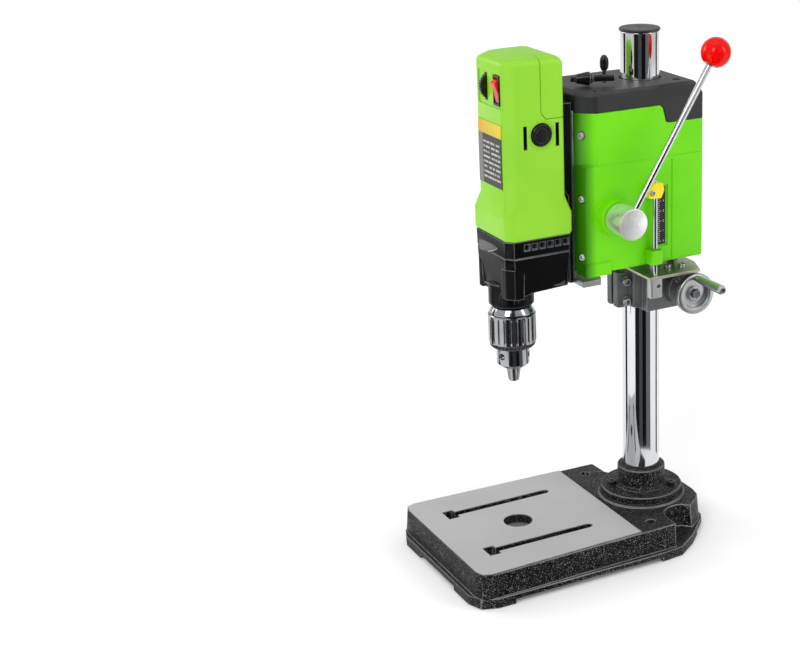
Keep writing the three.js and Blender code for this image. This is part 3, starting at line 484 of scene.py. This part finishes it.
flange = {"bore": 19.3, "rim": 41.9, "rimTop": 44.3, "neck": 24.5, "neckTop": 66.2, "low": 36.2,
          "fillet": 2.4, "filletTop": 3, "ease": 1.1, "sides": 128}
flangeLine = [[flange["bore"], flange["low"]], [flange["rim"], flange["low"]],
              [flange["rim"], flange["rimTop"]],
              [flange["neck"] + flange["fillet"], flange["rimTop"]],
              [flange["neck"], flange["rimTop"] + flange["filletTop"]],
              [flange["neck"], flange["neckTop"]], [flange["bore"], flange["neckTop"]],
              [flange["bore"], flange["low"]]]
turned("columnFlangeFine", flangeLine, "base", "wrinkleBlack", ("column_flange",),
       ease=flange["ease"], sides=flange["sides"])
flangeScrew = {"low": 39.3, "shank": 2.5, "seat": 44.45, "head": 4.3, "top": 49.3, "key": 2.1,
               "deep": 2.6, "spots": [(-10, -29), (22.3, 22.2), (-28, 13)]}
for number, spot in enumerate(flangeScrew["spots"], 1):
    at = (columnAt[0] + spot[0], columnAt[1] + spot[1], 0)
    socketScrew(f"flange_screw_{number}", "base", "satinBlack", at, upward, flangeScrew)

column = {"radius": 19, "low": 36.3, "high": 515, "ease": 0.5, "sides": 160}
turned("columnBarFine", barLine(column["radius"], column["low"], column["high"]), "column",
       "mirrorChrome", ("column_bar",), ease=column["ease"], sides=column["sides"])
columnCap = {"line": [[0, 515.2], [19.5, 515.2], [19.9, 515.7], [19.9, 517.3], [19.2, 518],
                      [2.4, 518], [2, 516.6], [0, 516.4]], "ease": 0.3, "sides": 128}
turned("columnCapFine", columnCap["line"], "column", "satinBlack", ("column_cap",),
       ease=columnCap["ease"], sides=columnCap["sides"])
print("base and column done")

# collar, its screws and the depth rod
softened("collar_body", "collar", "collarSteel", width=0.6)
softened("collar_plate", "collar", "platedBronze", width=0.4)
softened("rod_block", "collar", "castAluminium", width=0.6)
softened("depth_pointer", "pointer", "pointerYellow", width=0.5)
clampScrew = {"low": -13.5, "shank": 2.5, "seat": 12, "head": 4.1, "top": 17.7, "key": 2.1,
              "deep": 2.4, "washer": 5.2, "washerTop": 13.2, "y": 67,
              "heights": {"clamp_screw_upper": 271.6, "clamp_screw_lower": 250.8}}
washerLine = barLine(clampScrew["washer"], clampScrew["seat"], clampScrew["washerTop"])
for name, height in clampScrew["heights"].items():
    at = (columnAt[0], clampScrew["y"], height)
    turned(name + "Washer", washerLine, "collar", "zincScrew", (), at, rightward, socket["ease"],
           socket["sides"])
    socketScrew(name, "collar", "zincScrew", at, rightward, clampScrew)
plateBolt = {"low": 284.4, "shank": 2, "seat": 287.15, "head": 4, "top": 290.8, "key": 1.9,
             "deep": 1.8, "spots": [(38, 8), (44, 21)]}
for number, spot in enumerate(plateBolt["spots"], 1):
    at = (columnAt[0] + spot[0], columnAt[1] + spot[1], 0)
    socketScrew(f"plate_bolt_{number}", "collar", "zincScrew", at, upward, plateBolt)
bearingScrew = {"low": 29.3, "shank": 1.6, "seat": 33.2, "head": 2.9, "top": 34.9, "key": 1.3,
                "deep": 0.9, "reach": 14.2, "first": 130, "apart": 120}
for number in (1, 2, 3):
    turn = math.radians(bearingScrew["first"] + bearingScrew["apart"] * (number - 1))
    at = (0, wheelAt[1] + bearingScrew["reach"] * math.cos(turn),
          wheelAt[2] + bearingScrew["reach"] * math.sin(turn))
    socketScrew(f"wheel_flange_screw_{number}", "collar", "zincScrew", at, rightward, bearingScrew)
setScrew = {"low": 48.4, "shank": 1.2, "seat": 48.6, "head": 1.6, "top": 49.6, "key": 0.8,
            "deep": 0.6, "at": (0, 78.4, 276.5)}
socketScrew("rod_block_screw", "collar", "satinBlack", setScrew["at"], rightward, setScrew)
pointerScrew = {"low": 47, "shank": 1.3, "seat": 50.8, "head": 2.7, "top": 52.4, "key": 1.2,
                "deep": 0.9, "at": (0, 71, 370.8)}
socketScrew("pointer_screw", "pointer", "zincScrew", pointerScrew["at"], rightward, pointerScrew)
depthRod = {"line": [[0, 268.3], [2.5, 268.3], [2.5, 381], [1.5, 382], [0, 382]],
            "at": (45.5, 77, 0), "ease": 0.3, "sides": 48}
turned("depthRodFine", depthRod["line"], "collar", "mirrorChrome", ("depth_rod",), depthRod["at"],
       ease=depthRod["ease"], sides=depthRod["sides"])

# handwheel, its bearing and the crank
bearing = {"bore": 4.4, "radius": 18, "low": 24.9, "high": 33, "ease": 0.7, "sides": 96}
turned("wheelFlangeFine",
       tubeLine(bearing["bore"], bearing["radius"], bearing["low"], bearing["high"]), "collar",
       "collarSteel", ("wheel_flange",), wheelAt, rightward, bearing["ease"], bearing["sides"])
wheel = {"line": [[4.3, 38], [7.6, 38], [7.6, 46], [14.2, 46.6], [19.6, 46.6], [20.6, 47.6],
                  [20.6, 53.8], [19.4, 55], [15.2, 55], [14.2, 54], [13.6, 49.6], [7.6, 49.6],
                  [7.6, 52], [4.3, 52], [4.3, 38]], "ease": 0.8, "sides": 128}
turned("handwheelFine", wheel["line"], "handwheel", "spunWheel", ("handwheel",), wheelAt,
       rightward, wheel["ease"], wheel["sides"])
crankPin = {"radius": 1.9, "low": 48.7, "high": 98, "ease": 0.2, "sides": 32}
turned("crankPinFine", barLine(crankPin["radius"], crankPin["low"], crankPin["high"]),
       "handwheel", "turnedSteel", ("crank_pin",), crankAt, rightward, crankPin["ease"],
       crankPin["sides"])
crank = {"line": [[2.2, 55.6], [3.3, 55.6], [3.6, 61], [4.2, 74], [4.6, 85], [4.7, 98],
                  [3.4, 101], [2.2, 101], [2.2, 55.6]], "ease": 0.9, "sides": 64}
turned("crankHandleFine", crank["line"], "crank", "castAluminium", ("crank_handle",), crankAt,
       rightward, crank["ease"], crank["sides"])
softened("wheel_nut", "handwheel", "collarSteel", width=0.4)
print("collar and handwheel done")

# head, its cover, gib screws and spring housing
softened("head_housing", "head", "headGreen", width=0.8, segments=3)
softened("top_cover", "head", "coverGrey", width=0.8, segments=3, angle=32)
softened("scale_plate", "head", "blackPlastic", width=0.15)
gibScrew = {"low": -4.6, "shank": 1.7, "seat": -0.2, "head": 3.6, "top": 2.3, "key": 1.7,
            "deep": 1.4, "x": 27.8, "y": 7.74, "axis": (8, -10, 0), "heights": (430, 369.3, 312.2)}
for number, height in enumerate(gibScrew["heights"], 1):
    at = (gibScrew["x"], gibScrew["y"], height)
    socketScrew(f"gib_screw_{number}", "head", "zincScrew", at, gibScrew["axis"], gibScrew)
spring = {"line": [[6.4, -77], [15.6, -77], [17, -75.6], [17, -63.8], [6.4, -63.8], [6.4, -77]],
          "ease": 0.6, "sides": 96}
turned("springHousingFine", spring["line"], "head", "satinBlack", ("spring_housing",), feedAt,
       rightward, spring["ease"], spring["sides"])

# depth scale: long and short marks with generic numbers
scale = {"face": 38.42, "front": 84.3, "low": 318, "step": 2, "count": 26, "every": 5,
         "long": 3.6, "short": 2.0, "thick": 0.16, "wide": 0.32, "sink": 0.1, "inset": 0.3,
         "digit": 2.6, "digitIn": 6.4}


# thin boxes: each corner is a row's low corner plus none or all of its size along each axis
def flatStrips(name, boxes, body, finish):
    sign = np.array([[a, b, c] for a in (0, 1) for b in (0, 1) for c in (0, 1)])
    low, size = np.array(boxes)[:, None, :3], np.array(boxes)[:, None, 3:]
    corners = (low + sign[None] * size).reshape(-1, 3)
    sides = np.array([[0, 1, 3, 2], [4, 6, 7, 5], [0, 4, 5, 1], [2, 3, 7, 6], [0, 2, 6, 4],
                      [1, 5, 7, 3]])
    quads = (np.arange(len(boxes))[:, None, None] * 8 + sides[None]).reshape(-1, 4)
    return meshPiece(name, corners, quads, body, finish)


marks = []
for k in range(scale["count"]):
    length = scale["long"] if k % scale["every"] == 0 else scale["short"]
    marks.append([scale["face"] - scale["sink"], scale["front"] + scale["inset"],
                  scale["low"] + scale["step"] * k - scale["wide"] / 2,
                  scale["thick"], length, scale["wide"]])
flatStrips("scaleMarks", marks, "head", "scaleWhite")


# numbers set in the built-in face, made a thin solid facing +X
def printedNumber(name, text, at, size, body, finish, thick=0.05):
    curve = bpy.data.curves.new(name, "FONT")
    curve.body, curve.size, curve.extrude = text, size * mm, thick * mm
    curve.align_x, curve.align_y = "CENTER", "CENTER"
    curve.resolution_u = 3
    letter = bpy.data.objects.new(name, curve)
    bpy.context.scene.collection.objects.link(letter)
    bpy.context.view_layer.update()
    mesh = bpy.data.meshes.new_from_object(letter)
    bpy.data.objects.remove(letter)
    facing = Matrix(((0, 0, 1, 0), (1, 0, 0, 0), (0, 1, 0, 0), (0, 0, 0, 1)))
    mesh.transform(Matrix.Translation(Vector(at) * mm) @ facing)
    piece = bpy.data.objects.new(name, mesh)
    bpy.context.scene.collection.objects.link(piece)
    mesh.materials.clear()
    mesh.materials.append(finishes[finish])
    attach(piece, body)
    return piece


for k in range(0, scale["count"], scale["every"]):
    spot = (scale["face"], scale["front"] + scale["digitIn"], scale["low"] + scale["step"] * k)
    printedNumber(f"scaleNumber{k}", str(k // scale["every"]), spot, scale["digit"], "head",
                  "scaleWhite")
print("head done")

# feed lever: hub, leaning rod and ball
hub = {"line": [[0, 49.8], [13.4, 49.8], [15, 51.4], [15, 78], [0, 78]], "ease": 0.8, "sides": 128}
turned("feedHubFine", hub["line"], "lever", "spunHub", ("feed_hub",), feedAt, rightward,
       hub["ease"], hub["sides"])
lever = {"lean": 57.6, "x": 68.5, "radius": 3.25, "low": -10.5, "high": 168, "ease": 0.3,
         "sides": 64}
lean = math.radians(lever["lean"])
leverAxis = (0, math.cos(lean), math.sin(lean))
leverAt = (lever["x"], feedAt[1], feedAt[2])
turned("leverRodFine", barLine(lever["radius"], lever["low"], lever["high"]), "lever",
       "mirrorChrome", ("lever_rod",), leverAt, leverAxis, lever["ease"], lever["sides"])

# ball: a circle's arc from its flat neck to the pole, over a short socket
ball = {"radius": 14.4, "centre": 177.1, "from": 0.5, "points": 40, "socket": 3.55, "low": 168.5,
        "lip": 6.2, "lipRise": 0.2, "sides": 96, "crease": 50}
sweep = np.linspace(-math.pi / 2 + ball["from"], math.pi / 2, ball["points"])
ballLine = np.stack([ball["radius"] * np.cos(sweep),
                     ball["centre"] + ball["radius"] * np.sin(sweep)], -1)
ballLine[-1, 0] = 0
neck = ballLine[0, 1]
ballLine = np.vstack([[0, ball["low"]], [ball["socket"], ball["low"]],
                      [ball["socket"], neck + ball["lipRise"]], [ball["lip"], neck], ballLine])
turned("leverKnobFine", ballLine, "lever", "ballRed", ("lever_knob",), leverAt, leverAxis, 0,
       ball["sides"], None, ball["crease"])
print("lever done")

# carriage: slide, bracket, motor and gear case
softened("feed_slide", "carriage", "castAluminium", width=0.4)
softened("motor_bracket", "carriage", "blackCase", width=0.7)
motor = {"round": 1.0, "segments": 3, "angle": 30, "slotNear": 31, "slotFar": 34.6,
         "slotLow": 423, "slotHigh": 447, "slotY": -34, "slotHalf": 22}
motorSkin = softened("motor_shell", "carriage", "motorGreen", motor["round"], motor["segments"],
                     motor["angle"])


# painted shade: black on the faces inside the vent slots at both sides of the motor
def motorSlotShade(centre, normal):
    aside, along, height = abs(centre[:, 0] - columnAt[0]), centre[:, 1], centre[:, 2]
    return ((aside > motor["slotNear"]) & (aside < motor["slotFar"])
            & (height > motor["slotLow"]) & (height < motor["slotHigh"])
            & (abs(along - motor["slotY"]) < motor["slotHalf"]))


paintFaces(motorSkin, "blackPlastic", motorSlotShade)
softened("motor_cap", "carriage", "motorGreen", motor["round"], motor["segments"], motor["angle"])
softened("gearbox_housing", "carriage", "blackCase", width=0.6, angle=32)

# gear case: how far each height leans in from the widest level, and the planes there
case = {"heights": (280.3, 283.7, 316, 337.8), "lean": (4.4, 2.6, 0.5, 0), "front": -73,
        "side": 29, "back": 0.6, "along": 33, "across": 11, "crown": 0.7, "ends": 0.3,
        "inset": 0.04}


# patch on a leaning face: straight between a lower and an upper line, raised by a sine across them,
# and closed by a back inside the case; lines are (along, height) points
def casePatch(name, lower, upper, proud, finish, onSide=False):
    run = np.linspace(0, 1, case["along"])[:, None]
    across = np.linspace(0, 1, case["across"])[None, :]
    low, high = [np.stack([np.interp(run, np.linspace(0, 1, len(line)),
                                     np.array(line, float)[:, k]) for k in (0, 1)], -1)
                 for line in (lower, upper)]
    flat = low + (high - low) * across[..., None]
    lean = np.interp(flat[..., 1], case["heights"], case["lean"])
    middle = math.pi * (case["inset"] + (1 - 2 * case["inset"]) * run)
    dome = proud * np.sin(math.pi * across) ** case["crown"] * np.sin(middle) ** case["ends"]
    layers = []
    for out in (dome, -case["back"] + 0 * dome):
        if onSide:
            layers.append(np.stack([case["side"] - lean + out, flat[..., 0], flat[..., 1]], -1))
        else:
            layers.append(np.stack([flat[..., 0], case["front"] + lean - out, flat[..., 1]], -1))
    rows = np.concatenate([layers[0], layers[1][:, ::-1]], 1)
    ends = [np.repeat(row.mean(0)[None], rows.shape[1], 0)[None] for row in (rows[0], rows[-1])]
    rows = np.concatenate([ends[0], rows, ends[1]], 0)
    return meshPiece(name, rows.reshape(-1, 3), roundQuads(*rows.shape[:2]), "carriage", finish)


# raised patches on the gear case whose light finishes are painted highlights: the lit lens-shaped
# recess with its bright lower rim, two bright lines along the front and a lit crescent on the side
lens = {"lower": [(-32.4, 317.8), (-22, 318.9), (-13, 320.8), (-2, 324.6), (7.6, 328.8)],
        "upper": [(-31.8, 327.6), (-21, 329.2), (-12, 329.9), (-2, 330), (7.8, 329.2)],
        "proud": 0.5, "highlightLow": 1.3, "highlightHigh": 0.2}
casePatch("gearCaseLens", lens["lower"], lens["upper"], lens["proud"], "caseGlint")
casePatch("gearCaseLensHighlight", [(x, z - lens["highlightLow"]) for x, z in lens["lower"][2:]],
          [(x, z - lens["highlightHigh"]) for x, z in lens["lower"][2:]], lens["proud"], "casePaintedHighlight")
highlightStrips = {"gearCaseHighlightUpper": {"lower": [(-33, 285.2), (3, 286)],
                               "upper": [(-33, 286.1), (3, 286.9)],
                               "proud": 0.6, "finish": "casePaintedHighlight"},
         "gearCaseHighlightLower": {"lower": [(-27, 280.9), (3, 281)],
                               "upper": [(-27, 281.7), (3, 281.8)],
                               "proud": 0.5, "finish": "casePaintedHighlight"},
         "gearCaseCorner": {"lower": [(-25, 288.7), (-18, 287.6), (-12, 286.9)],
                            "upper": [(-24.6, 289), (-18, 289.7), (-12, 292.2)],
                            "proud": 0.4, "finish": "caseGlint"}}
for name, strip in highlightStrips.items():
    casePatch(name, strip["lower"], strip["upper"], strip["proud"], strip["finish"],
              name == "gearCaseCorner")
softened("switch_frame", "carriage", "blackPlastic", width=0.4)
softened("power_rocker", "power_rocker", "rockerRed", width=0.5)
label = softened("label_plate", "carriage", "blackPlastic", width=0.1, segments=1)

# heights and places on the label in millimetres
labelLook = {"low": 392.0, "high": 430.0, "pitch": 4.75, "tall": 0.4, "from": -20.0, "to": 14.0,
             "column": -22.0, "band": 433.6, "warmFrom": 405, "warmTo": 455, "dash": 0.42,
             "dashFrom": 0.44, "rowJump": 3.7, "fine": 1500.0, "roughness": (0.3, 0.42),
             "dark": "#1c1a19", "grey": "#6f6d6b", "ink": "#b9b7b2", "yellow": "#d6c200",
             "deepYellow": "#cc9a00"}


# label: yellow band on top, light column at the left, rows of plain light dashes
def makeLabel(name, look):
    material, tree, shader, place = newMaterial(name)
    x, y, z = [addMath(tree, "MULTIPLY", part, 1000.0) for part in
               addNode(tree, "SeparateXYZ", {0: place}).outputs]
    row = addMath(tree, "DIVIDE", addMath(tree, "SUBTRACT", z, look["low"]), look["pitch"])
    inRow = addMath(tree, "LESS_THAN", addMath(tree, "FRACT", row), look["tall"])
    jump = addMath(tree, "MULTIPLY", addMath(tree, "FLOOR", row), look["rowJump"])
    spot = addNode(tree, "CombineXYZ", {0: addMath(tree, "MULTIPLY", x, look["dash"]), 1: jump})
    broken = addNode(tree, "TexNoise", {"Vector": spot.outputs[0], "Scale": 1.0, "Detail": 1.0})
    ink = addMath(tree, "MULTIPLY", inRow,
                  addMath(tree, "GREATER_THAN", broken.outputs[0], look["dashFrom"]))
    for part, test, limit in ((x, "GREATER_THAN", "from"), (x, "LESS_THAN", "to"),
                              (z, "GREATER_THAN", "low"), (z, "LESS_THAN", "high")):
        ink = addMath(tree, "MULTIPLY", ink, addMath(tree, test, part, look[limit]))
    leftPart = spread(tree, x, look["column"], look["column"] + 1.0, 1.0, 0.0)
    field = mixColour(tree, leftPart, tint(look["dark"]), tint(look["grey"]))
    field = mixColour(tree, ink, field, tint(look["ink"]))
    warmth = spread(tree, addMath(tree, "ADD", x, z), look["warmFrom"], look["warmTo"])
    warm = mixColour(tree, warmth, tint(look["deepYellow"]), tint(look["yellow"]))
    band = addMath(tree, "GREATER_THAN", z, look["band"])
    tree.links.new(mixColour(tree, band, field, warm), shader.inputs["Base Color"])
    fine = addNode(tree, "TexNoise", {"Vector": place, "Scale": look["fine"]}).outputs[0]
    rough = spread(tree, fine, noise["patchFrom"], noise["patchTo"], *look["roughness"])
    tree.links.new(rough, shader.inputs["Roughness"])
    return material


label.data.materials[0] = makeLabel("labelPrint", labelLook)

# brush caps with a ring groove, each in a raised ring on the motor's side
brush = {"line": [[0, 25.8], [10.2, 25.8], [10.2, 29], [9.4, 29.8], [7.6, 29.8], [7.2, 29.2],
                  [6.6, 29.2], [6.2, 29.7], [0, 29.5]], "out": 7, "y": -34, "z": 435.8,
         "ease": 0.3, "sides": 72, "ringRadius": 13.3, "ringOut": 27.6, "ringHalf": 0.75,
         "ringPoints": 17}
ringRound = np.linspace(0, 2 * math.pi, brush["ringPoints"])
ringLine = np.stack([brush["ringRadius"] + brush["ringHalf"] * np.cos(ringRound),
                     brush["ringOut"] + brush["ringHalf"] * np.sin(ringRound)], -1)
for side, name, ring in ((1, "brush_cap_right", "brushRingRight"),
                         (-1, "brush_cap_left", "brushRingLeft")):
    at = (columnAt[0] + side * brush["out"], brush["y"], brush["z"])
    turned(name + "Fine", brush["line"], "carriage", "blackPlastic", (name,), at, (side, 0, 0),
           brush["ease"], brush["sides"])
    turned(ring, ringLine, "carriage", "motorGreen", (), at, (side, 0, 0), 0, brush["sides"])

dial = {"radius": 13.8, "teeth": 32, "half": 2.1, "bore": 2, "notch": 0.7, "rim": 1,
        "at": (-14.5, -61.3, 478), "ease": 0.5, "perTooth": 10}


# rim notched by a raised cosine of the angle
def knurl(radius, height, angle):
    notch = 0.5 - 0.5 * np.cos(dial["teeth"] * angle)
    return radius - dial["notch"] * notch ** 2 * (radius > dial["radius"] - dial["rim"])


turned("speedDialFine", tubeLine(dial["bore"], dial["radius"], -dial["half"], dial["half"]),
       "speed_dial", "blackPlastic", ("speed_dial",), dial["at"], rightward, dial["ease"],
       dial["teeth"] * dial["perTooth"], knurl)
print("carriage done")

# chuck body, jaws, fluted sleeve and key
softened("chuck_body", "chuck", "chuckChrome", width=0.35, angle=32)
for number in (1, 2, 3):
    softened(f"chuck_jaw_{number}", f"jaw_{number}", "turnedSteel", width=0.15)

sleeve = {"radius": 23.3, "flutes": 24, "depth": 1.1, "low": 230.6, "high": 256.6, "fade": 1.8,
          "levels": 16, "skin": 22.5, "edge": (1.9, 0.9), "sharp": 0.6,
          "teeth": 36, "toothDepth": 1.3, "toothSkin": 21.5, "toothTop": 229, "toothEdge": 1.6,
          "foot": [[20.4, 224.4], [22.2, 226.2], [22.2, 228.9], [22.9, 229.2], [23.3, 229.8]],
          "top": [[23.3, 257.2], [22.3, 258.3], [18.8, 258.3], [18.8, 226.6], [20.2, 226.4],
                  [20.2, 224.6], [20.4, 224.4]],
          "sides": 864, "crease": 30, "darkBelow": 229.3}
sleeveLine = [*sleeve["foot"],
              *[[sleeve["radius"], z]
                for z in np.linspace(sleeve["low"], sleeve["high"], sleeve["levels"])],
              *sleeve["top"]]


# flutes: a sharpened cosine of the angle, faded in over a short run at both ends; key teeth below
def fluted(radius, height, angle):
    rise = np.clip((height - sleeve["low"]) / sleeve["fade"], 0, 1)
    fall = np.clip((sleeve["high"] - height) / sleeve["fade"], 0, 1)
    gain, offset = sleeve["edge"]
    wave = np.clip(np.cos(sleeve["flutes"] * angle) * gain - offset, 0, 1)
    groove = wave ** sleeve["sharp"] * rise * fall * (radius > sleeve["skin"])
    tooth = np.clip(np.cos(sleeve["teeth"] * angle) * sleeve["toothEdge"], -1, 1) * 0.5 + 0.5
    toothed = (radius > sleeve["toothSkin"]) & (height < sleeve["toothTop"])
    return radius - sleeve["depth"] * groove - sleeve["toothDepth"] * tooth * toothed


sleevePiece = turned("chuckSleeveFine", sleeveLine, "sleeve", "chuckChrome", ("chuck_sleeve",),
                     spindleAt, upward, 0, sleeve["sides"], fluted, sleeve["crease"])
paintFaces(sleevePiece, "satinBlack", lambda centre, normal: centre[:, 2] < sleeve["darkBelow"])
softened("chuck_key", "chuck_key", "keyBlack", width=0.3)
print("chuck done")

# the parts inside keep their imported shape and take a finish
for node in ("spindle", "lift_screw", "wheel_shaft", "feed_shaft", "feed_rack"):
    cadNodes[node].data.materials.clear()
    cadNodes[node].data.materials.append(finishes["turnedSteel"])

# studio: floor, backdrop and cards, in metres
studio = {"half": 6, "floorAt": -0.0003, "floor": "#fdfdfd", "glowFrom": 0.3, "glowTo": 2.0,
          "glowNear": 0.07, "glowFar": 0.3, "wallRadius": 5.9, "wallLow": -0.0002,
          "wallHigh": 9.0, "wallSides": 48, "sky": 0.7, "rough": 0.9, "gloss": 0.2}


# flat piece of the studio; a hidden one is seen only in polished metal
def stagePlane(name, corners, colour, hidden=False):
    mesh = bpy.data.meshes.new(name)
    mesh.from_pydata(corners, [], [tuple(range(len(corners)))])
    plane = bpy.data.objects.new(name, mesh)
    bpy.context.scene.collection.objects.link(plane)
    material = bpy.data.materials.new(name)
    material.use_nodes = True
    shader = material.node_tree.nodes["Principled BSDF"]
    shader.inputs["Base Color"].default_value = tint(colour)
    shader.inputs["Roughness"].default_value = studio["rough"]
    shader.inputs["Specular IOR Level"].default_value = 0.0 if hidden else studio["gloss"]
    mesh.materials.append(material)
    if hidden:
        plane.visible_camera = plane.visible_diffuse = plane.visible_shadow = False
        plane.visible_transmission = False
    return plane


floorCorners = [(x * studio["half"], y * studio["half"], studio["floorAt"])
                for x, y in ((-1, -1), (1, -1), (1, 1), (-1, 1))]
floor = stagePlane("floor", floorCorners, studio["floor"])

# the far floor glows a little, so that it meets the backdrop
floorTree = floor.data.materials[0].node_tree
floorPlace = addNode(floorTree, "TexCoord").outputs["Object"]
floorReach = addNode(floorTree, "VectorMath", {0: floorPlace}, operation="LENGTH")
floorShader = floorTree.nodes["Principled BSDF"]
floorShader.inputs["Emission Color"].default_value = (1, 1, 1, 1)
floorGlow = spread(floorTree, floorReach.outputs["Value"], studio["glowFrom"], studio["glowTo"],
                   studio["glowNear"], studio["glowFar"])
floorTree.links.new(floorGlow, floorShader.inputs["Emission Strength"])


# points on a circle about the column, in metres
def columnArc(low, high, radius, points=12):
    turn = np.radians(np.linspace(low, high, points))
    return np.stack([columnAt[0] * mm + radius * np.cos(turn),
                     columnAt[1] * mm + radius * np.sin(turn)], -1).tolist()


# flat sector of a ring about the column, for the dark and light bands in polished metal
def floorFan(name, low, high, colour, near=0.16, far=4.0, lift=0.0004):
    ring = columnArc(low, high, far) + columnArc(low, high, near)[::-1]
    stagePlane(name, [(x, y, lift) for x, y in ring], colour, True)


# the same sectors standing up, for the bands near the top of the column
def standingFan(name, low, high, colour, away=1.15, foot=0.001, tall=0.62):
    arc = columnArc(low, high, away)
    corners = [(x, y, foot) for x, y in arc] + [(x, y, tall) for x, y in arc[::-1]]
    stagePlane(name, corners, colour, True)


# name, first and last angle about the column in degrees, tone
fans = [("fanA", -64, -40, "#1c1c1d"), ("fanB", -40, -20, "#4a4a4c"), ("fanC", -20, 2, "#101011"),
        ("fanD", 2, 30, "#6c6c6e"), ("fanE", -137, -121, "#161617"), ("fanF", 73, 86, "#1a1a1b")]
for fan in fans:
    floorFan(*fan)
    standingFan(fan[0] + "Tall", *fan[1:])
standingFan("darkCard", -42, -12, "#1c1c1d", away=2.3, foot=0.45, tall=2.6)

# white backdrop all round and above, for the camera only
around = np.linspace(0, 2 * math.pi, studio["wallSides"], endpoint=False)
wallSpots = studio["wallRadius"] * np.stack([np.cos(around), np.sin(around)], -1)
backdrop = bpy.data.meshes.new("backdrop")
backdrop.from_pydata([(x, y, z) for z in (studio["wallLow"], studio["wallHigh"])
                      for x, y in wallSpots], [],
                     [*roundQuads(2, studio["wallSides"]).tolist(),
                      list(range(studio["wallSides"], 2 * studio["wallSides"]))])
backdropPiece = bpy.data.objects.new("backdrop", backdrop)
bpy.context.scene.collection.objects.link(backdropPiece)
white = bpy.data.materials.new("backdrop")
white.use_nodes = True
whiteShader = white.node_tree.nodes["Principled BSDF"]
whiteShader.inputs["Base Color"].default_value = (0, 0, 0, 1)
whiteShader.inputs["Specular IOR Level"].default_value = 0
whiteShader.inputs["Emission Color"].default_value = (1, 1, 1, 1)
whiteShader.inputs["Emission Strength"].default_value = 1.0
backdrop.materials.append(white)
backdropPiece.visible_diffuse = backdropPiece.visible_glossy = False
backdropPiece.visible_shadow = backdropPiece.visible_transmission = False

bpy.context.scene.view_settings.view_transform = "Standard"
world = bpy.data.worlds.new("studio")
bpy.context.scene.world = world
world.use_nodes = True
sky = world.node_tree.nodes["Background"]
sky.inputs["Color"].default_value = (1, 1, 1, 1)
sky.inputs["Strength"].default_value = studio["sky"]

lampAim = Vector((0, 0, 0.27))
lamps = {"key": {"at": (1.5, -1.7, 1.9), "size": (1.3, 1.3), "power": 21},
         "left": {"at": (-1.7, -1.6, 1.1), "size": (1.2, 1.2), "power": 13},
         "rim": {"at": (1.6, 1.3, 1.3), "size": (0.5, 1.6), "power": 9},
         "top": {"at": (0, 0, 2.4), "size": (1.6, 1.6), "power": 5}}
for name, lamp in lamps.items():
    light = bpy.data.lights.new(name, "AREA")
    light.shape, light.size, light.size_y = "RECTANGLE", lamp["size"][0], lamp["size"][1]
    light.energy = lamp["power"]
    holder = bpy.data.objects.new(name, light)
    holder.location = lamp["at"]
    holder.rotation_euler = (lampAim - Vector(lamp["at"])).to_track_quat("-Z", "Y").to_euler()
    bpy.context.scene.collection.objects.link(holder)

view = {"target": (-0.007, 0.032, 0.22795), "distance": 1.699, "azimuth": 60.83,
        "elevation": 19.46, "roll": -0.8, "lens": 77.14, "shift": -0.2358}
turn, lift, roll = [math.radians(view[key]) for key in ("azimuth", "elevation", "roll")]
back = Vector((math.sin(turn) * math.cos(lift), -math.cos(turn) * math.cos(lift), math.sin(lift)))
side = Vector((math.cos(turn), math.sin(turn), 0))
top = back.cross(side)
across = side * math.cos(roll) + top * math.sin(roll)
upper = top * math.cos(roll) - side * math.sin(roll)
camera = bpy.data.objects.new("camera", bpy.data.cameras.new("camera"))
camera.data.lens, camera.data.shift_x = view["lens"], view["shift"]
placed = Matrix((across, upper, back)).transposed().to_4x4()
placed.translation = Vector(view["target"]) + back * view["distance"]
camera.matrix_world = placed
bpy.context.scene.collection.objects.link(camera)
bpy.context.scene.camera = camera
print("studio done")
